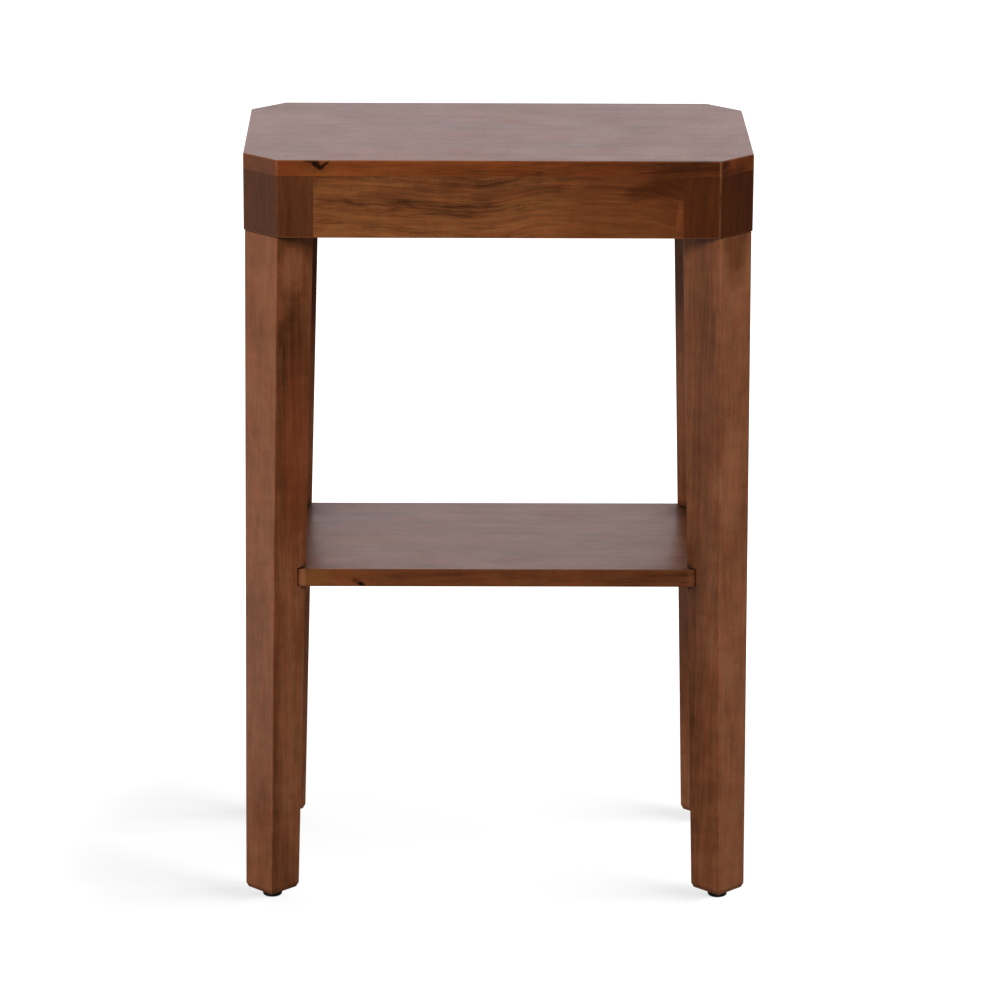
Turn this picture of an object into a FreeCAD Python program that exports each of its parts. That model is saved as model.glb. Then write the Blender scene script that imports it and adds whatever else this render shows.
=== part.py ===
import FreeCAD, Part

# End table with a lower shelf: a flush top on a hollow apron frame, four tapered legs set
# diagonally under the clipped corners, one shelf held in notches in the legs, and four
# screw-in levelling glides.
# Millimetres. X runs along the long side, the front is at -Y, +Z is up. The origin is on the
# floor under the middle of the table, with the glides screwed fully in.

import math
import os

# ---- driving dimensions ----

# Top and apron frame
TOP_WIDTH = 457.2
TOP_DEPTH = 254.0
TOP_THICKNESS = 14.0
CORNER_CLIP = 31.0  # cut from each side of a square corner
APRON_HEIGHT = 56.6
RAIL_THICKNESS = 20.0
CORNER_EASE = 1.5  # radius of the upright arrises of the frame and top
TOP_EASE = 1.2  # radius of the arris around the top surface
UNDER_EASE = 1.0  # radius of the lower outer arris of the frame

# Corner blocks
BLOCK_FLOOR = 28.0  # solid wood that the leg bolt goes through
POCKET_WALL = 12.0  # wood between the nut's pocket and the clipped face

# Legs
LEG_HEIGHT = 625.2
LEG_TOP_LENGTH = 45.2  # along the corner's diagonal
LEG_FOOT_SIDE = 35.2
LEG_KICK = 10.0  # how far the outer face leans out from top to foot
LEG_REVEAL = 0.4  # each leg face stands this far inside the block above
LEG_EASE = 1.2  # radius of the long arrises
LEG_TOP_EASE = 0.6  # bevel around the top of the leg, which shows the seam
FOOT_BEVEL_IN = 2.0
FOOT_BEVEL_UP = 5.0

# Shelf
SHELF_THICKNESS = 16.6
SHELF_INSET = 19.05  # from the sides of the top to the edges of the shelf
SHELF_EASE = 1.0  # radius of the long arrises
SHELF_CORNER_EASE = 4.0  # radius of the upright arrises
NOTCH_HEIGHT = 293.6  # from the foot of the leg up to the face that carries the shelf
NOTCH_DEPTH = 11.4
NOTCH_HEADROOM = 1.0  # gap above the shelf in its notch
NOTCH_END_GAP = 1.0  # gap between the shelf's clipped corner and the back of its notch

# Dowels
RAIL_DOWEL_DIAMETER = 8.0
RAIL_DOWEL_LENGTH = 40.0
RAIL_DOWEL_SPACING = 30.0
LEG_DOWEL_DIAMETER = 8.0
LEG_DOWEL_LENGTH = 34.0
LEG_DOWEL_SPACING = 26.0
SHELF_DOWEL_DIAMETER = 6.0
SHELF_DOWEL_LENGTH = 30.0
DOWEL_CHAMFER = 1.0
DOWEL_FIT = 0.05  # radial gap around a glued dowel
DOWEL_END_GAP = 1.0

# Hanger bolt, washer and nut that hold each leg
BOLT_DIAMETER = 8.0
BOLT_DEPTH = 45.0  # wood thread in the leg
BOLT_POINT = 6.0
BOLT_PROUD = 3.0  # end of the bolt above the nut
BOLT_HOLE_CLEARANCE = 0.5
WOOD_THREAD_FIT = 0.05
WASHER_DIAMETER = 18.0
WASHER_THICKNESS = 1.6
NUT_ACROSS_FLATS = 13.0
NUT_HEIGHT = 6.5
NUT_THREAD_FIT = 0.05

# Screws that hold the top, in slanted pockets in the rails
SCREW_SPACING = 200.0  # between the two screws of a long rail
SCREW_TILT = 20.0  # degrees from upright
SCREW_DIAMETER = 4.0
SCREW_SHOULDER = 18.0  # along the screw, from its head to the top of the rail
SCREW_HEAD_DIAMETER = 8.5
SCREW_HEAD_HEIGHT = 2.2
SCREW_POCKET_DIAMETER = 9.5
SCREW_POCKET_LENGTH = 40.0
TOP_SKIN = 5.0  # wood left between the screw's tip and the top surface

# Levelling glides
GLIDE_DIAMETER = 18.0
GLIDE_HEIGHT = 7.7
GLIDE_RIM = 2.2  # radius of the lower rim
STEM_DIAMETER = 6.0
STEM_LENGTH = 25.0  # above the pad
STEM_SOCKET = 4.0  # stem moulded into the pad
STEM_CLEARANCE = 0.05
STEM_HOLE_CLEARANCE = 0.8
STEM_END_GAP = 3.0
INSERT_DIAMETER = 9.0
INSERT_LENGTH = 13.0
INSERT_FLANGE_DIAMETER = 13.0
INSERT_FLANGE_THICKNESS = 1.2

# ---- levels and lines that follow from them ----

FOOT_Z = GLIDE_HEIGHT
LEG_TOP_Z = FOOT_Z + LEG_HEIGHT
APRON_TOP_Z = LEG_TOP_Z + APRON_HEIGHT
SHELF_Z = FOOT_Z + NOTCH_HEIGHT
POCKET_Z = LEG_TOP_Z + BLOCK_FLOOR

ROOT_TWO = math.sqrt(2.0)
CLIP_FACE_IN = CORNER_CLIP / ROOT_TWO  # from the square corner to the clipped face
LEG_TOP_WIDTH = CORNER_CLIP * ROOT_TWO - 2 * LEG_REVEAL
LEG_TOP_IN = CLIP_FACE_IN + LEG_REVEAL
LEG_FOOT_IN = LEG_TOP_IN - LEG_KICK
LEG_TOP_MIDDLE = LEG_TOP_IN + LEG_TOP_LENGTH / 2
LEG_FOOT_MIDDLE = LEG_FOOT_IN + LEG_FOOT_SIDE / 2
# The blocks are as large as it takes to cover the legs' inner corners.
BLOCK_SIDE = (LEG_TOP_IN + LEG_TOP_LENGTH + LEG_TOP_WIDTH / 2) / ROOT_TWO + LEG_REVEAL

CORNERS = {
    "front_left": (-1, -1),
    "front_right": (1, -1),
    "back_left": (-1, 1),
    "back_right": (1, 1),
}
UP = FreeCAD.Vector(0, 0, 1)
TOUCH = 0.001  # nearer than this, two points are one


# ---- setting out ----


def from_corner(corner, inward_x, inward_y, z):
    """A point measured inwards along both sides from a square corner of the top."""
    side_x, side_y = CORNERS[corner]
    x = side_x * (TOP_WIDTH / 2 - inward_x)
    y = side_y * (TOP_DEPTH / 2 - inward_y)
    return FreeCAD.Vector(x, y, z)


def on_diagonal(corner, along, across, z):
    """A point measured inwards along a corner's diagonal, then across it."""
    inward_x = (along + across) / ROOT_TWO
    inward_y = (along - across) / ROOT_TWO
    return from_corner(corner, inward_x, inward_y, z)


def diagonal_square(corner, near, far, half_width, z):
    """The corners of a rectangle along a table corner's diagonal, anticlockwise from above."""
    spots = [(near, -half_width), (near, half_width), (far, half_width), (far, -half_width)]
    if CORNERS[corner] in ((-1, 1), (1, -1)):
        spots.reverse()
    return [on_diagonal(corner, along, across, z) for along, across in spots]


def inward(corner):
    """The level direction from a corner of the table along its diagonal."""
    side_x, side_y = CORNERS[corner]
    return FreeCAD.Vector(-side_x / ROOT_TWO, -side_y / ROOT_TWO, 0)


def leg_inner_face(z):
    """Where a leg's inner face crosses the corner's diagonal at a height."""
    foot_face = LEG_FOOT_IN + LEG_FOOT_SIDE
    top_face = LEG_TOP_IN + LEG_TOP_LENGTH
    return foot_face + (top_face - foot_face) * (z - FOOT_Z) / LEG_HEIGHT


NOTCH_BACK = leg_inner_face(SHELF_Z + SHELF_THICKNESS / 2) - NOTCH_DEPTH
SHELF_CLIP_FACE = NOTCH_BACK + NOTCH_END_GAP


# ---- solids ----


def prism(points, height):
    """A flat-sided solid that rises from level points."""
    return Part.Face(Part.makePolygon([*points, points[0]])).extrude(UP * height)


def tapered(low, high):
    """A solid between two rings of corners at different heights."""
    rings = [low[::-1], high]
    for number, start in enumerate(low):
        following = (number + 1) % len(low)
        rings.append([start, low[following], high[following], high[number]])
    faces = [Part.Face(Part.makePolygon([*ring, ring[0]])) for ring in rings]
    return Part.makeSolid(Part.Shell(faces))


def rod(diameter, length, start, direction=UP):
    return Part.makeCylinder(diameter / 2, length, start, direction)


def octagon(width, depth, clip, z):
    """The corners of a rectangle about the middle of the table with its corners clipped."""
    x, y = width / 2, depth / 2
    outline = (
        (x - clip, -y), (x, clip - y), (x, y - clip), (x - clip, y),
        (clip - x, y), (-x, y - clip), (-x, clip - y), (clip - x, -y),
    )
    return [FreeCAD.Vector(px, py, z) for px, py in outline]


def upright_edges(shape, height):
    """The edges of a shape that climb at least this far."""
    return [edge for edge in shape.Edges if edge.BoundBox.ZLength > height]


def level_edges(shape, z):
    """The edges that lie at one height."""
    found = []
    for edge in shape.Edges:
        box = edge.BoundBox
        if abs(box.ZMin - z) < TOUCH and abs(box.ZMax - z) < TOUCH:
            found.append(edge)
    return found


def on_outside(edge):
    """Whether an edge lies along one of the eight outer faces of the frame."""
    middle = edge.BoundBox.Center
    gap_x = TOP_WIDTH / 2 - abs(middle.x)
    gap_y = TOP_DEPTH / 2 - abs(middle.y)
    return min(gap_x, gap_y, gap_x + gap_y - CORNER_CLIP) < CORNER_EASE / 4


def lower_outer_edges(shape):
    """The edges around the bottom of the frame's outside."""
    return [edge for edge in level_edges(shape, LEG_TOP_Z) if on_outside(edge)]


def rises_from(edge, spots):
    """Whether an upright edge stands on one of some points."""
    ends = [vertex.Point for vertex in edge.Vertexes]
    upright = edge.BoundBox.ZLength > TOUCH
    return upright and any(end.distanceToPoint(spot) < TOUCH for end in ends for spot in spots)


# ---- top screws and their holes ----


def screw_places():
    """Where each screw crosses the top of its rail, with the direction it is driven in."""
    tilt = math.radians(SCREW_TILT)
    line_x = TOP_WIDTH / 2 - RAIL_THICKNESS / 2
    line_y = TOP_DEPTH / 2 - RAIL_THICKNESS / 2
    places = []
    for side in (-1, 1):
        for along in (-SCREW_SPACING / 2, SCREW_SPACING / 2):
            spot = FreeCAD.Vector(along, side * line_y, APRON_TOP_Z)
            places.append((spot, FreeCAD.Vector(0, side * math.sin(tilt), math.cos(tilt))))
        spot = FreeCAD.Vector(side * line_x, 0, APRON_TOP_Z)
        places.append((spot, FreeCAD.Vector(side * math.sin(tilt), 0, math.cos(tilt))))
    return places


def screw_bite(aim):
    """How far a screw goes into the top along its own line."""
    return (TOP_THICKNESS - TOP_SKIN) / aim.z


def top_screw(spot, aim):
    head_top = spot - aim * SCREW_SHOULDER
    shank = rod(SCREW_DIAMETER, SCREW_SHOULDER + screw_bite(aim), head_top, aim)
    head = rod(SCREW_HEAD_DIAMETER, SCREW_HEAD_HEIGHT, head_top - aim * SCREW_HEAD_HEIGHT, aim)
    return head.fuse(shank).removeSplitter()


def top_screw_hole(spot, aim):
    """The slanted pocket, and the thread's hole through the rail into the top."""
    bore = SCREW_DIAMETER + 2 * WOOD_THREAD_FIT
    head_top = spot - aim * SCREW_SHOULDER
    hole = rod(bore, SCREW_SHOULDER + screw_bite(aim), head_top, aim)
    pocket_start = head_top - aim * SCREW_POCKET_LENGTH
    return hole.fuse(rod(SCREW_POCKET_DIAMETER, SCREW_POCKET_LENGTH, pocket_start, aim))


# ---- dowels ----


def dowel(diameter, length, middle, direction):
    start = middle - direction * (length / 2)
    pin = rod(diameter, length, start, direction)
    rims = [edge for edge in pin.Edges if isinstance(edge.Curve, Part.Circle)]
    return pin.makeChamfer(DOWEL_CHAMFER, rims)


def dowel_hole(diameter, length, middle, direction):
    full = length + 2 * DOWEL_END_GAP
    return rod(diameter + 2 * DOWEL_FIT, full, middle - direction * (full / 2), direction)


def rail_dowel_places():
    """The middles and directions of the dowels between the rails and the blocks."""
    middle_z = LEG_TOP_Z + APRON_HEIGHT / 2
    seam_x = TOP_WIDTH / 2 - BLOCK_SIDE
    seam_y = TOP_DEPTH / 2 - BLOCK_SIDE
    line_x = TOP_WIDTH / 2 - RAIL_THICKNESS / 2
    line_y = TOP_DEPTH / 2 - RAIL_THICKNESS / 2
    places = []
    for side_x, side_y in CORNERS.values():
        for step in (-RAIL_DOWEL_SPACING / 2, RAIL_DOWEL_SPACING / 2):
            z = middle_z + step
            long_rail = FreeCAD.Vector(side_x * seam_x, side_y * line_y, z)
            places.append((long_rail, FreeCAD.Vector(1, 0, 0)))
            short_rail = FreeCAD.Vector(side_x * line_x, side_y * seam_y, z)
            places.append((short_rail, FreeCAD.Vector(0, 1, 0)))
    return places


def leg_dowel_places(corner):
    steps = (-LEG_DOWEL_SPACING / 2, LEG_DOWEL_SPACING / 2)
    return [(on_diagonal(corner, LEG_TOP_MIDDLE, across, LEG_TOP_Z), UP) for across in steps]


def shelf_dowel_place(corner):
    middle = (NOTCH_BACK + SHELF_CLIP_FACE) / 2
    z = SHELF_Z + SHELF_THICKNESS / 2
    return on_diagonal(corner, middle, 0, z), inward(corner)


RAIL_DOWELS = [(RAIL_DOWEL_DIAMETER, RAIL_DOWEL_LENGTH, *place) for place in rail_dowel_places()]


# ---- top and frame ----


def top_board():
    outline = octagon(TOP_WIDTH, TOP_DEPTH, CORNER_CLIP, APRON_TOP_Z)
    board = prism(outline, TOP_THICKNESS)
    board = board.makeFillet(CORNER_EASE, upright_edges(board, TOP_THICKNESS / 2))
    board = board.makeFillet(TOP_EASE, level_edges(board, APRON_TOP_Z + TOP_THICKNESS))
    return board.cut([top_screw_hole(*place) for place in screw_places()])


def rail(middle, along, length):
    """A rail, set on the line of its middle, that runs along X or Y."""
    across = FreeCAD.Vector(along.y, along.x, 0)
    start = middle - along * (length / 2) - across * (RAIL_THICKNESS / 2)
    size = along * length + across * RAIL_THICKNESS
    blank = Part.makeBox(size.x, size.y, APRON_HEIGHT, start)
    blank = blank.makeFillet(UNDER_EASE, lower_outer_edges(blank))
    holes = [top_screw_hole(*place) for place in screw_places()]
    holes += [dowel_hole(*one) for one in RAIL_DOWELS]
    return blank.cut(holes)


def rails():
    x_line = FreeCAD.Vector(1, 0, 0)
    y_line = FreeCAD.Vector(0, 1, 0)
    out_x = TOP_WIDTH / 2 - RAIL_THICKNESS / 2
    out_y = TOP_DEPTH / 2 - RAIL_THICKNESS / 2
    long_length = TOP_WIDTH - 2 * BLOCK_SIDE
    short_length = TOP_DEPTH - 2 * BLOCK_SIDE
    return {
        "front_rail": rail(FreeCAD.Vector(0, -out_y, LEG_TOP_Z), x_line, long_length),
        "back_rail": rail(FreeCAD.Vector(0, out_y, LEG_TOP_Z), x_line, long_length),
        "left_rail": rail(FreeCAD.Vector(-out_x, 0, LEG_TOP_Z), y_line, short_length),
        "right_rail": rail(FreeCAD.Vector(out_x, 0, LEG_TOP_Z), y_line, short_length),
    }


def corner_block(corner):
    """A block with a clipped outer corner and a pocket for the nut, open to the inside."""
    clip = CORNER_CLIP
    outline = (clip, 0), (BLOCK_SIDE, 0), (BLOCK_SIDE, BLOCK_SIDE), (0, BLOCK_SIDE), (0, clip)
    points = [from_corner(corner, *spot, LEG_TOP_Z) for spot in outline]
    block = prism(points, APRON_HEIGHT)

    clip_ends = [points[0], points[-1]]
    block = block.makeFillet(CORNER_EASE, [edge for edge in block.Edges if rises_from(edge, clip_ends)])
    block = block.makeFillet(UNDER_EASE, lower_outer_edges(block))

    reach = BLOCK_SIDE * ROOT_TWO
    inner_corner = (BLOCK_SIDE, BLOCK_SIDE), (BLOCK_SIDE, RAIL_THICKNESS)
    inner_corner += (RAIL_THICKNESS, RAIL_THICKNESS), (RAIL_THICKNESS, BLOCK_SIDE)
    pocket = prism([from_corner(corner, *spot, POCKET_Z) for spot in inner_corner], APRON_HEIGHT)
    behind_wall = CLIP_FACE_IN + POCKET_WALL
    room = diagonal_square(corner, behind_wall, behind_wall + reach, reach, POCKET_Z)
    pocket = pocket.common(prism(room, APRON_HEIGHT))

    bolt_hole_diameter = BOLT_DIAMETER + 2 * BOLT_HOLE_CLEARANCE
    bolt_line = on_diagonal(corner, LEG_TOP_MIDDLE, 0, LEG_TOP_Z)
    holes = [pocket, rod(bolt_hole_diameter, BLOCK_FLOOR, bolt_line)]
    holes += [dowel_hole(*one) for one in RAIL_DOWELS]
    for place in leg_dowel_places(corner):
        holes.append(dowel_hole(LEG_DOWEL_DIAMETER, LEG_DOWEL_LENGTH, *place))
    return block.cut(holes)


# ---- legs and shelf ----


def leg(corner):
    """A square post that tapers to its foot and leans out, notched for the shelf."""
    half_foot = LEG_FOOT_SIDE / 2
    foot_far = LEG_FOOT_IN + LEG_FOOT_SIDE
    top_far = LEG_TOP_IN + LEG_TOP_LENGTH
    foot_ring = diagonal_square(corner, LEG_FOOT_IN, foot_far, half_foot, FOOT_Z)
    top_ring = diagonal_square(corner, LEG_TOP_IN, top_far, LEG_TOP_WIDTH / 2, LEG_TOP_Z)
    post = tapered(foot_ring, top_ring)
    post = post.makeFillet(LEG_EASE, upright_edges(post, LEG_HEIGHT / 2))
    post = post.makeChamfer(LEG_TOP_EASE, level_edges(post, LEG_TOP_Z))

    # The foot is bevelled by what lies outside a block that widens upwards from it.
    spread = LEG_HEIGHT * FOOT_BEVEL_IN / FOOT_BEVEL_UP - FOOT_BEVEL_IN
    bevels = []
    for grow, z in ((-FOOT_BEVEL_IN, FOOT_Z), (spread, LEG_TOP_Z)):
        ring = diagonal_square(corner, LEG_FOOT_IN - grow, foot_far + grow, half_foot + grow, z)
        bevels.append(ring)
    post = post.common(tapered(*bevels))

    notch_far = NOTCH_BACK + NOTCH_DEPTH + LEG_FOOT_SIDE
    notch_ring = diagonal_square(corner, NOTCH_BACK, notch_far, LEG_TOP_WIDTH, SHELF_Z)
    holes = [prism(notch_ring, SHELF_THICKNESS + NOTCH_HEADROOM)]
    holes.append(dowel_hole(SHELF_DOWEL_DIAMETER, SHELF_DOWEL_LENGTH, *shelf_dowel_place(corner)))
    for place in leg_dowel_places(corner):
        holes.append(dowel_hole(LEG_DOWEL_DIAMETER, LEG_DOWEL_LENGTH, *place))

    bolt_bore = BOLT_DIAMETER + 2 * WOOD_THREAD_FIT
    bolt_start = on_diagonal(corner, LEG_TOP_MIDDLE, 0, LEG_TOP_Z - BOLT_DEPTH)
    holes.append(rod(bolt_bore, BOLT_DEPTH, bolt_start))

    foot = on_diagonal(corner, LEG_FOOT_MIDDLE, 0, FOOT_Z)
    fit = 2 * WOOD_THREAD_FIT
    holes.append(rod(INSERT_FLANGE_DIAMETER + fit, INSERT_FLANGE_THICKNESS, foot))
    holes.append(rod(INSERT_DIAMETER + fit, INSERT_LENGTH, foot))
    holes.append(rod(STEM_DIAMETER + 2 * STEM_HOLE_CLEARANCE, STEM_LENGTH + STEM_END_GAP, foot))
    return post.cut(holes)


def shelf_board():
    width = TOP_WIDTH - 2 * SHELF_INSET
    depth = TOP_DEPTH - 2 * SHELF_INSET
    clip = SHELF_CLIP_FACE * ROOT_TWO - 2 * SHELF_INSET
    board = prism(octagon(width, depth, clip, SHELF_Z), SHELF_THICKNESS)
    board = board.makeFillet(SHELF_CORNER_EASE, upright_edges(board, SHELF_THICKNESS / 2))
    arrises = level_edges(board, SHELF_Z) + level_edges(board, SHELF_Z + SHELF_THICKNESS)
    board = board.makeFillet(SHELF_EASE, arrises)
    size = SHELF_DOWEL_DIAMETER, SHELF_DOWEL_LENGTH
    return board.cut([dowel_hole(*size, *shelf_dowel_place(corner)) for corner in CORNERS])


# ---- leg fixings ----


def hanger_bolt(corner):
    """A headless bolt: a pointed wood thread in the leg, a machine thread above it."""
    low_z = LEG_TOP_Z - BOLT_DEPTH + BOLT_POINT
    high_z = POCKET_Z + WASHER_THICKNESS + NUT_HEIGHT + BOLT_PROUD
    shank = rod(BOLT_DIAMETER, high_z - low_z, on_diagonal(corner, LEG_TOP_MIDDLE, 0, low_z))
    tip = on_diagonal(corner, LEG_TOP_MIDDLE, 0, low_z - BOLT_POINT)
    point = Part.makeCone(0, BOLT_DIAMETER / 2, BOLT_POINT, tip)
    return shank.fuse(point)


def bolt_washer(corner):
    seat = on_diagonal(corner, LEG_TOP_MIDDLE, 0, POCKET_Z)
    disc = rod(WASHER_DIAMETER, WASHER_THICKNESS, seat)
    return disc.cut(rod(BOLT_DIAMETER + 2 * BOLT_HOLE_CLEARANCE, WASHER_THICKNESS, seat))


def bolt_nut(corner):
    """A hexagon nut with the corners of both faces turned off."""
    seat = on_diagonal(corner, LEG_TOP_MIDDLE, 0, POCKET_Z + WASHER_THICKNESS)
    radius = NUT_ACROSS_FLATS / math.sqrt(3.0)
    turns = [math.radians(60 * number) for number in range(6)]
    ring = [seat + FreeCAD.Vector(math.cos(turn), math.sin(turn), 0) * radius for turn in turns]
    nut = prism(ring, NUT_HEIGHT)
    # Two cones, wide in the middle and narrow at the nut's faces, turn the corners off.
    turned = NUT_ACROSS_FLATS / 2
    shift = UP * ((radius - turned) / 4)
    long = 2 * NUT_HEIGHT
    low = Part.makeCone(turned, turned + long, long, seat - shift)
    high = Part.makeCone(turned + long, turned, long, seat - UP * NUT_HEIGHT + shift)
    nut = nut.common(low).common(high)
    return nut.cut(rod(BOLT_DIAMETER + 2 * NUT_THREAD_FIT, NUT_HEIGHT, seat))


# ---- levelling glides ----


def glide_pad(corner):
    floor = on_diagonal(corner, LEG_FOOT_MIDDLE, 0, 0)
    pad = rod(GLIDE_DIAMETER, GLIDE_HEIGHT, floor)
    pad = pad.makeFillet(GLIDE_RIM, level_edges(pad, 0))
    socket_start = floor + UP * (GLIDE_HEIGHT - STEM_SOCKET)
    return pad.cut(rod(STEM_DIAMETER + 2 * STEM_CLEARANCE, STEM_SOCKET, socket_start))


def glide_stem(corner):
    start = on_diagonal(corner, LEG_FOOT_MIDDLE, 0, GLIDE_HEIGHT - STEM_SOCKET)
    return rod(STEM_DIAMETER, STEM_SOCKET + STEM_LENGTH, start)


def foot_insert(corner):
    foot = on_diagonal(corner, LEG_FOOT_MIDDLE, 0, FOOT_Z)
    sleeve = rod(INSERT_DIAMETER, INSERT_LENGTH, foot)
    sleeve = sleeve.fuse(rod(INSERT_FLANGE_DIAMETER, INSERT_FLANGE_THICKNESS, foot))
    return sleeve.cut(rod(STEM_DIAMETER + 2 * STEM_CLEARANCE, INSERT_LENGTH, foot))


# ---- the assembly ----


def assembly():
    """Every node of the table by name."""
    nodes = {"top_board": top_board(), "shelf_board": shelf_board(), **rails()}
    for corner in CORNERS:
        nodes["corner_block_" + corner] = corner_block(corner)
        nodes["leg_" + corner] = leg(corner)
        nodes["glide_pad_" + corner] = glide_pad(corner)
        nodes["glide_stem_" + corner] = glide_stem(corner)
    leg_pins = [place for corner in CORNERS for place in leg_dowel_places(corner)]
    leg_size = LEG_DOWEL_DIAMETER, LEG_DOWEL_LENGTH
    shelf_size = SHELF_DOWEL_DIAMETER, SHELF_DOWEL_LENGTH
    nodes["rail_dowels"] = Part.makeCompound([dowel(*one) for one in RAIL_DOWELS])
    nodes["leg_dowels"] = Part.makeCompound([dowel(*leg_size, *place) for place in leg_pins])
    shelf_pins = [shelf_dowel_place(corner) for corner in CORNERS]
    nodes["shelf_dowels"] = Part.makeCompound([dowel(*shelf_size, *place) for place in shelf_pins])
    nodes["hanger_bolts"] = Part.makeCompound([hanger_bolt(corner) for corner in CORNERS])
    nodes["bolt_washers"] = Part.makeCompound([bolt_washer(corner) for corner in CORNERS])
    nodes["bolt_nuts"] = Part.makeCompound([bolt_nut(corner) for corner in CORNERS])
    nodes["foot_inserts"] = Part.makeCompound([foot_insert(corner) for corner in CORNERS])
    nodes["top_screws"] = Part.makeCompound([top_screw(*place) for place in screw_places()])
    return nodes


os.makedirs("parts", exist_ok=True)
for name, shape in assembly().items():
    shape.exportStep("parts/" + name + ".step")
    volume = sum(solid.Volume for solid in shape.Solids)
    print(name, len(shape.Solids), "solids", round(volume / 1000, 2), "cm3", "valid", shape.isValid())
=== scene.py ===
# %% [markdown]
# # An end table with a shelf, dressed for its picture
# The joiner's work is already done: the frame holds every board, dowel, bolt and glide at its real
# size, in metres, with the front at -Y and the origin on the floor. What is left for Blender is the
# finish. This lesson stains and lacquers the boards, cuts the threads that the plain rods stand for,
# and lights the table like a catalogue picture.

# %% Load the frame
import math

import bpy
import numpy as np
from mathutils import Matrix, Vector


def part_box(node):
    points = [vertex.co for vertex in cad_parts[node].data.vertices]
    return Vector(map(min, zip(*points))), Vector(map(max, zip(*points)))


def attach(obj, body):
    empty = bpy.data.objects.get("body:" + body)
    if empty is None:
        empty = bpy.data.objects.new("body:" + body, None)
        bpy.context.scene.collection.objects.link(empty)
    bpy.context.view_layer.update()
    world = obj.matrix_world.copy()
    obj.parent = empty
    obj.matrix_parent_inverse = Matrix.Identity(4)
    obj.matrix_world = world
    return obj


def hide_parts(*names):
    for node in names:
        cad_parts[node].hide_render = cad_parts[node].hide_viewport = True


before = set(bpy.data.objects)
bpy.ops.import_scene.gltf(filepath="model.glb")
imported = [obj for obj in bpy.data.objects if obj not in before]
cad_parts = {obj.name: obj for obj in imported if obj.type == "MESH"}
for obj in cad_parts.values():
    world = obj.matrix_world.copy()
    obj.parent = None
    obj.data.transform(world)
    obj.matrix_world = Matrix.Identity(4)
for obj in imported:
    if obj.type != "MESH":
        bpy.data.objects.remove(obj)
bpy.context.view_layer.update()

# %% [markdown]
# ## The camera
# A long lens from far away keeps the legs nearly parallel, which is how furniture is usually shown.
# The camera stands a little left of the middle, looks down by 16 degrees and leans by a third of a
# degree, as hand-levelled tripods do. The lens is given by its field in pixels, because a picture
# 1000 pixels wide is what the table is framed for.

# %% Camera
PICTURE_SIZE = 1000
FOCAL_PIXELS = 4801.3
CAMERA_PLACE = Vector((-0.0440, -4.2998, 1.6199))
LOOK_DOWN = math.radians(16.424)
LOOK_RIGHT = math.radians(0.638)
LEAN = math.radians(0.305)

camera_data = bpy.data.cameras.new("camera")
camera_data.sensor_width = 36.0
camera_data.lens = FOCAL_PIXELS / PICTURE_SIZE * camera_data.sensor_width
camera_data.clip_end = 100.0
camera = bpy.data.objects.new("camera", camera_data)
aim = Matrix.Rotation(-LOOK_RIGHT, 4, "Z") @ Matrix.Rotation(math.pi / 2 - LOOK_DOWN, 4, "X")
camera.matrix_world = Matrix.Translation(CAMERA_PLACE) @ aim @ Matrix.Rotation(LEAN, 4, "Z")
bpy.context.scene.collection.objects.link(camera)
bpy.context.scene.camera = camera
bpy.context.scene.view_settings.view_transform = "Standard"
print("lens", round(camera_data.lens, 1), "mm")

# %% [markdown]
# ## Small tools for node trees
# A material is a drawing of boxes and wires. Placing each box by hand takes six lines, so these
# helpers place one box and wire it in one call. Wherever a helper takes a value it also takes a
# socket: a number is set on the input, a socket is wired to it. Those that calculate something return
# their output socket, so that calls can be nested like a formula.


# %% Node helpers
def feed(tree, target, value):
    """Wire a socket to an input, or set the input to a plain value."""
    if isinstance(value, bpy.types.NodeSocket):
        tree.links.new(value, target)
    elif value is not None:
        target.default_value = value


def place(tree, kind, inputs=(), **settings):
    """Add one shader node, set its properties and feed its inputs, in order or by name."""
    node = tree.nodes.new("ShaderNode" + kind)
    for name, value in settings.items():
        setattr(node, name, value)
    pairs = inputs.items() if isinstance(inputs, dict) else enumerate(inputs)
    for name, value in pairs:
        feed(tree, node.inputs[name], value)
    return node


def calc(tree, operation, *values, clamp=False):
    return place(tree, "Math", values, operation=operation, use_clamp=clamp).outputs[0]


def times(tree, first, second):
    return calc(tree, "MULTIPLY", first, second)


def pull(tree, tone, value, middle, weight):
    """Move a tone by a weighted share of a value's distance from its middle."""
    return calc(tree, "ADD", tone, times(tree, calc(tree, "SUBTRACT", value, middle), weight))


def vector_calc(tree, operation, *values):
    node = place(tree, "VectorMath", values, operation=operation)
    return node.outputs["Value" if operation in ("LENGTH", "DOT_PRODUCT") else "Vector"]


def remap(tree, value, low, high, to_low=0.0, to_high=1.0, smooth=True):
    """Stretch a range of values onto another, clamped at both ends."""
    steps = "SMOOTHSTEP" if smooth else "LINEAR"
    values = (value, low, high, to_low, to_high)
    return place(tree, "MapRange", values, interpolation_type=steps).outputs["Result"]


def blend(tree, factor, first, second, mode="MIX"):
    """Mix two colours."""
    inputs = {0: factor, 6: first, 7: second}
    return place(tree, "Mix", inputs, data_type="RGBA", blend_type=mode).outputs[2]


def noise(tree, vector, scale, detail=2.0, roughness=0.5, output="Fac", dimensions="3D"):
    """Smooth random values about 0.5. The scale counts features per metre."""
    where = "W" if dimensions == "1D" else "Vector"
    inputs = {where: vector, "Scale": scale, "Detail": detail, "Roughness": roughness}
    return place(tree, "TexNoise", inputs, noise_dimensions=dimensions).outputs[output]


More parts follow.
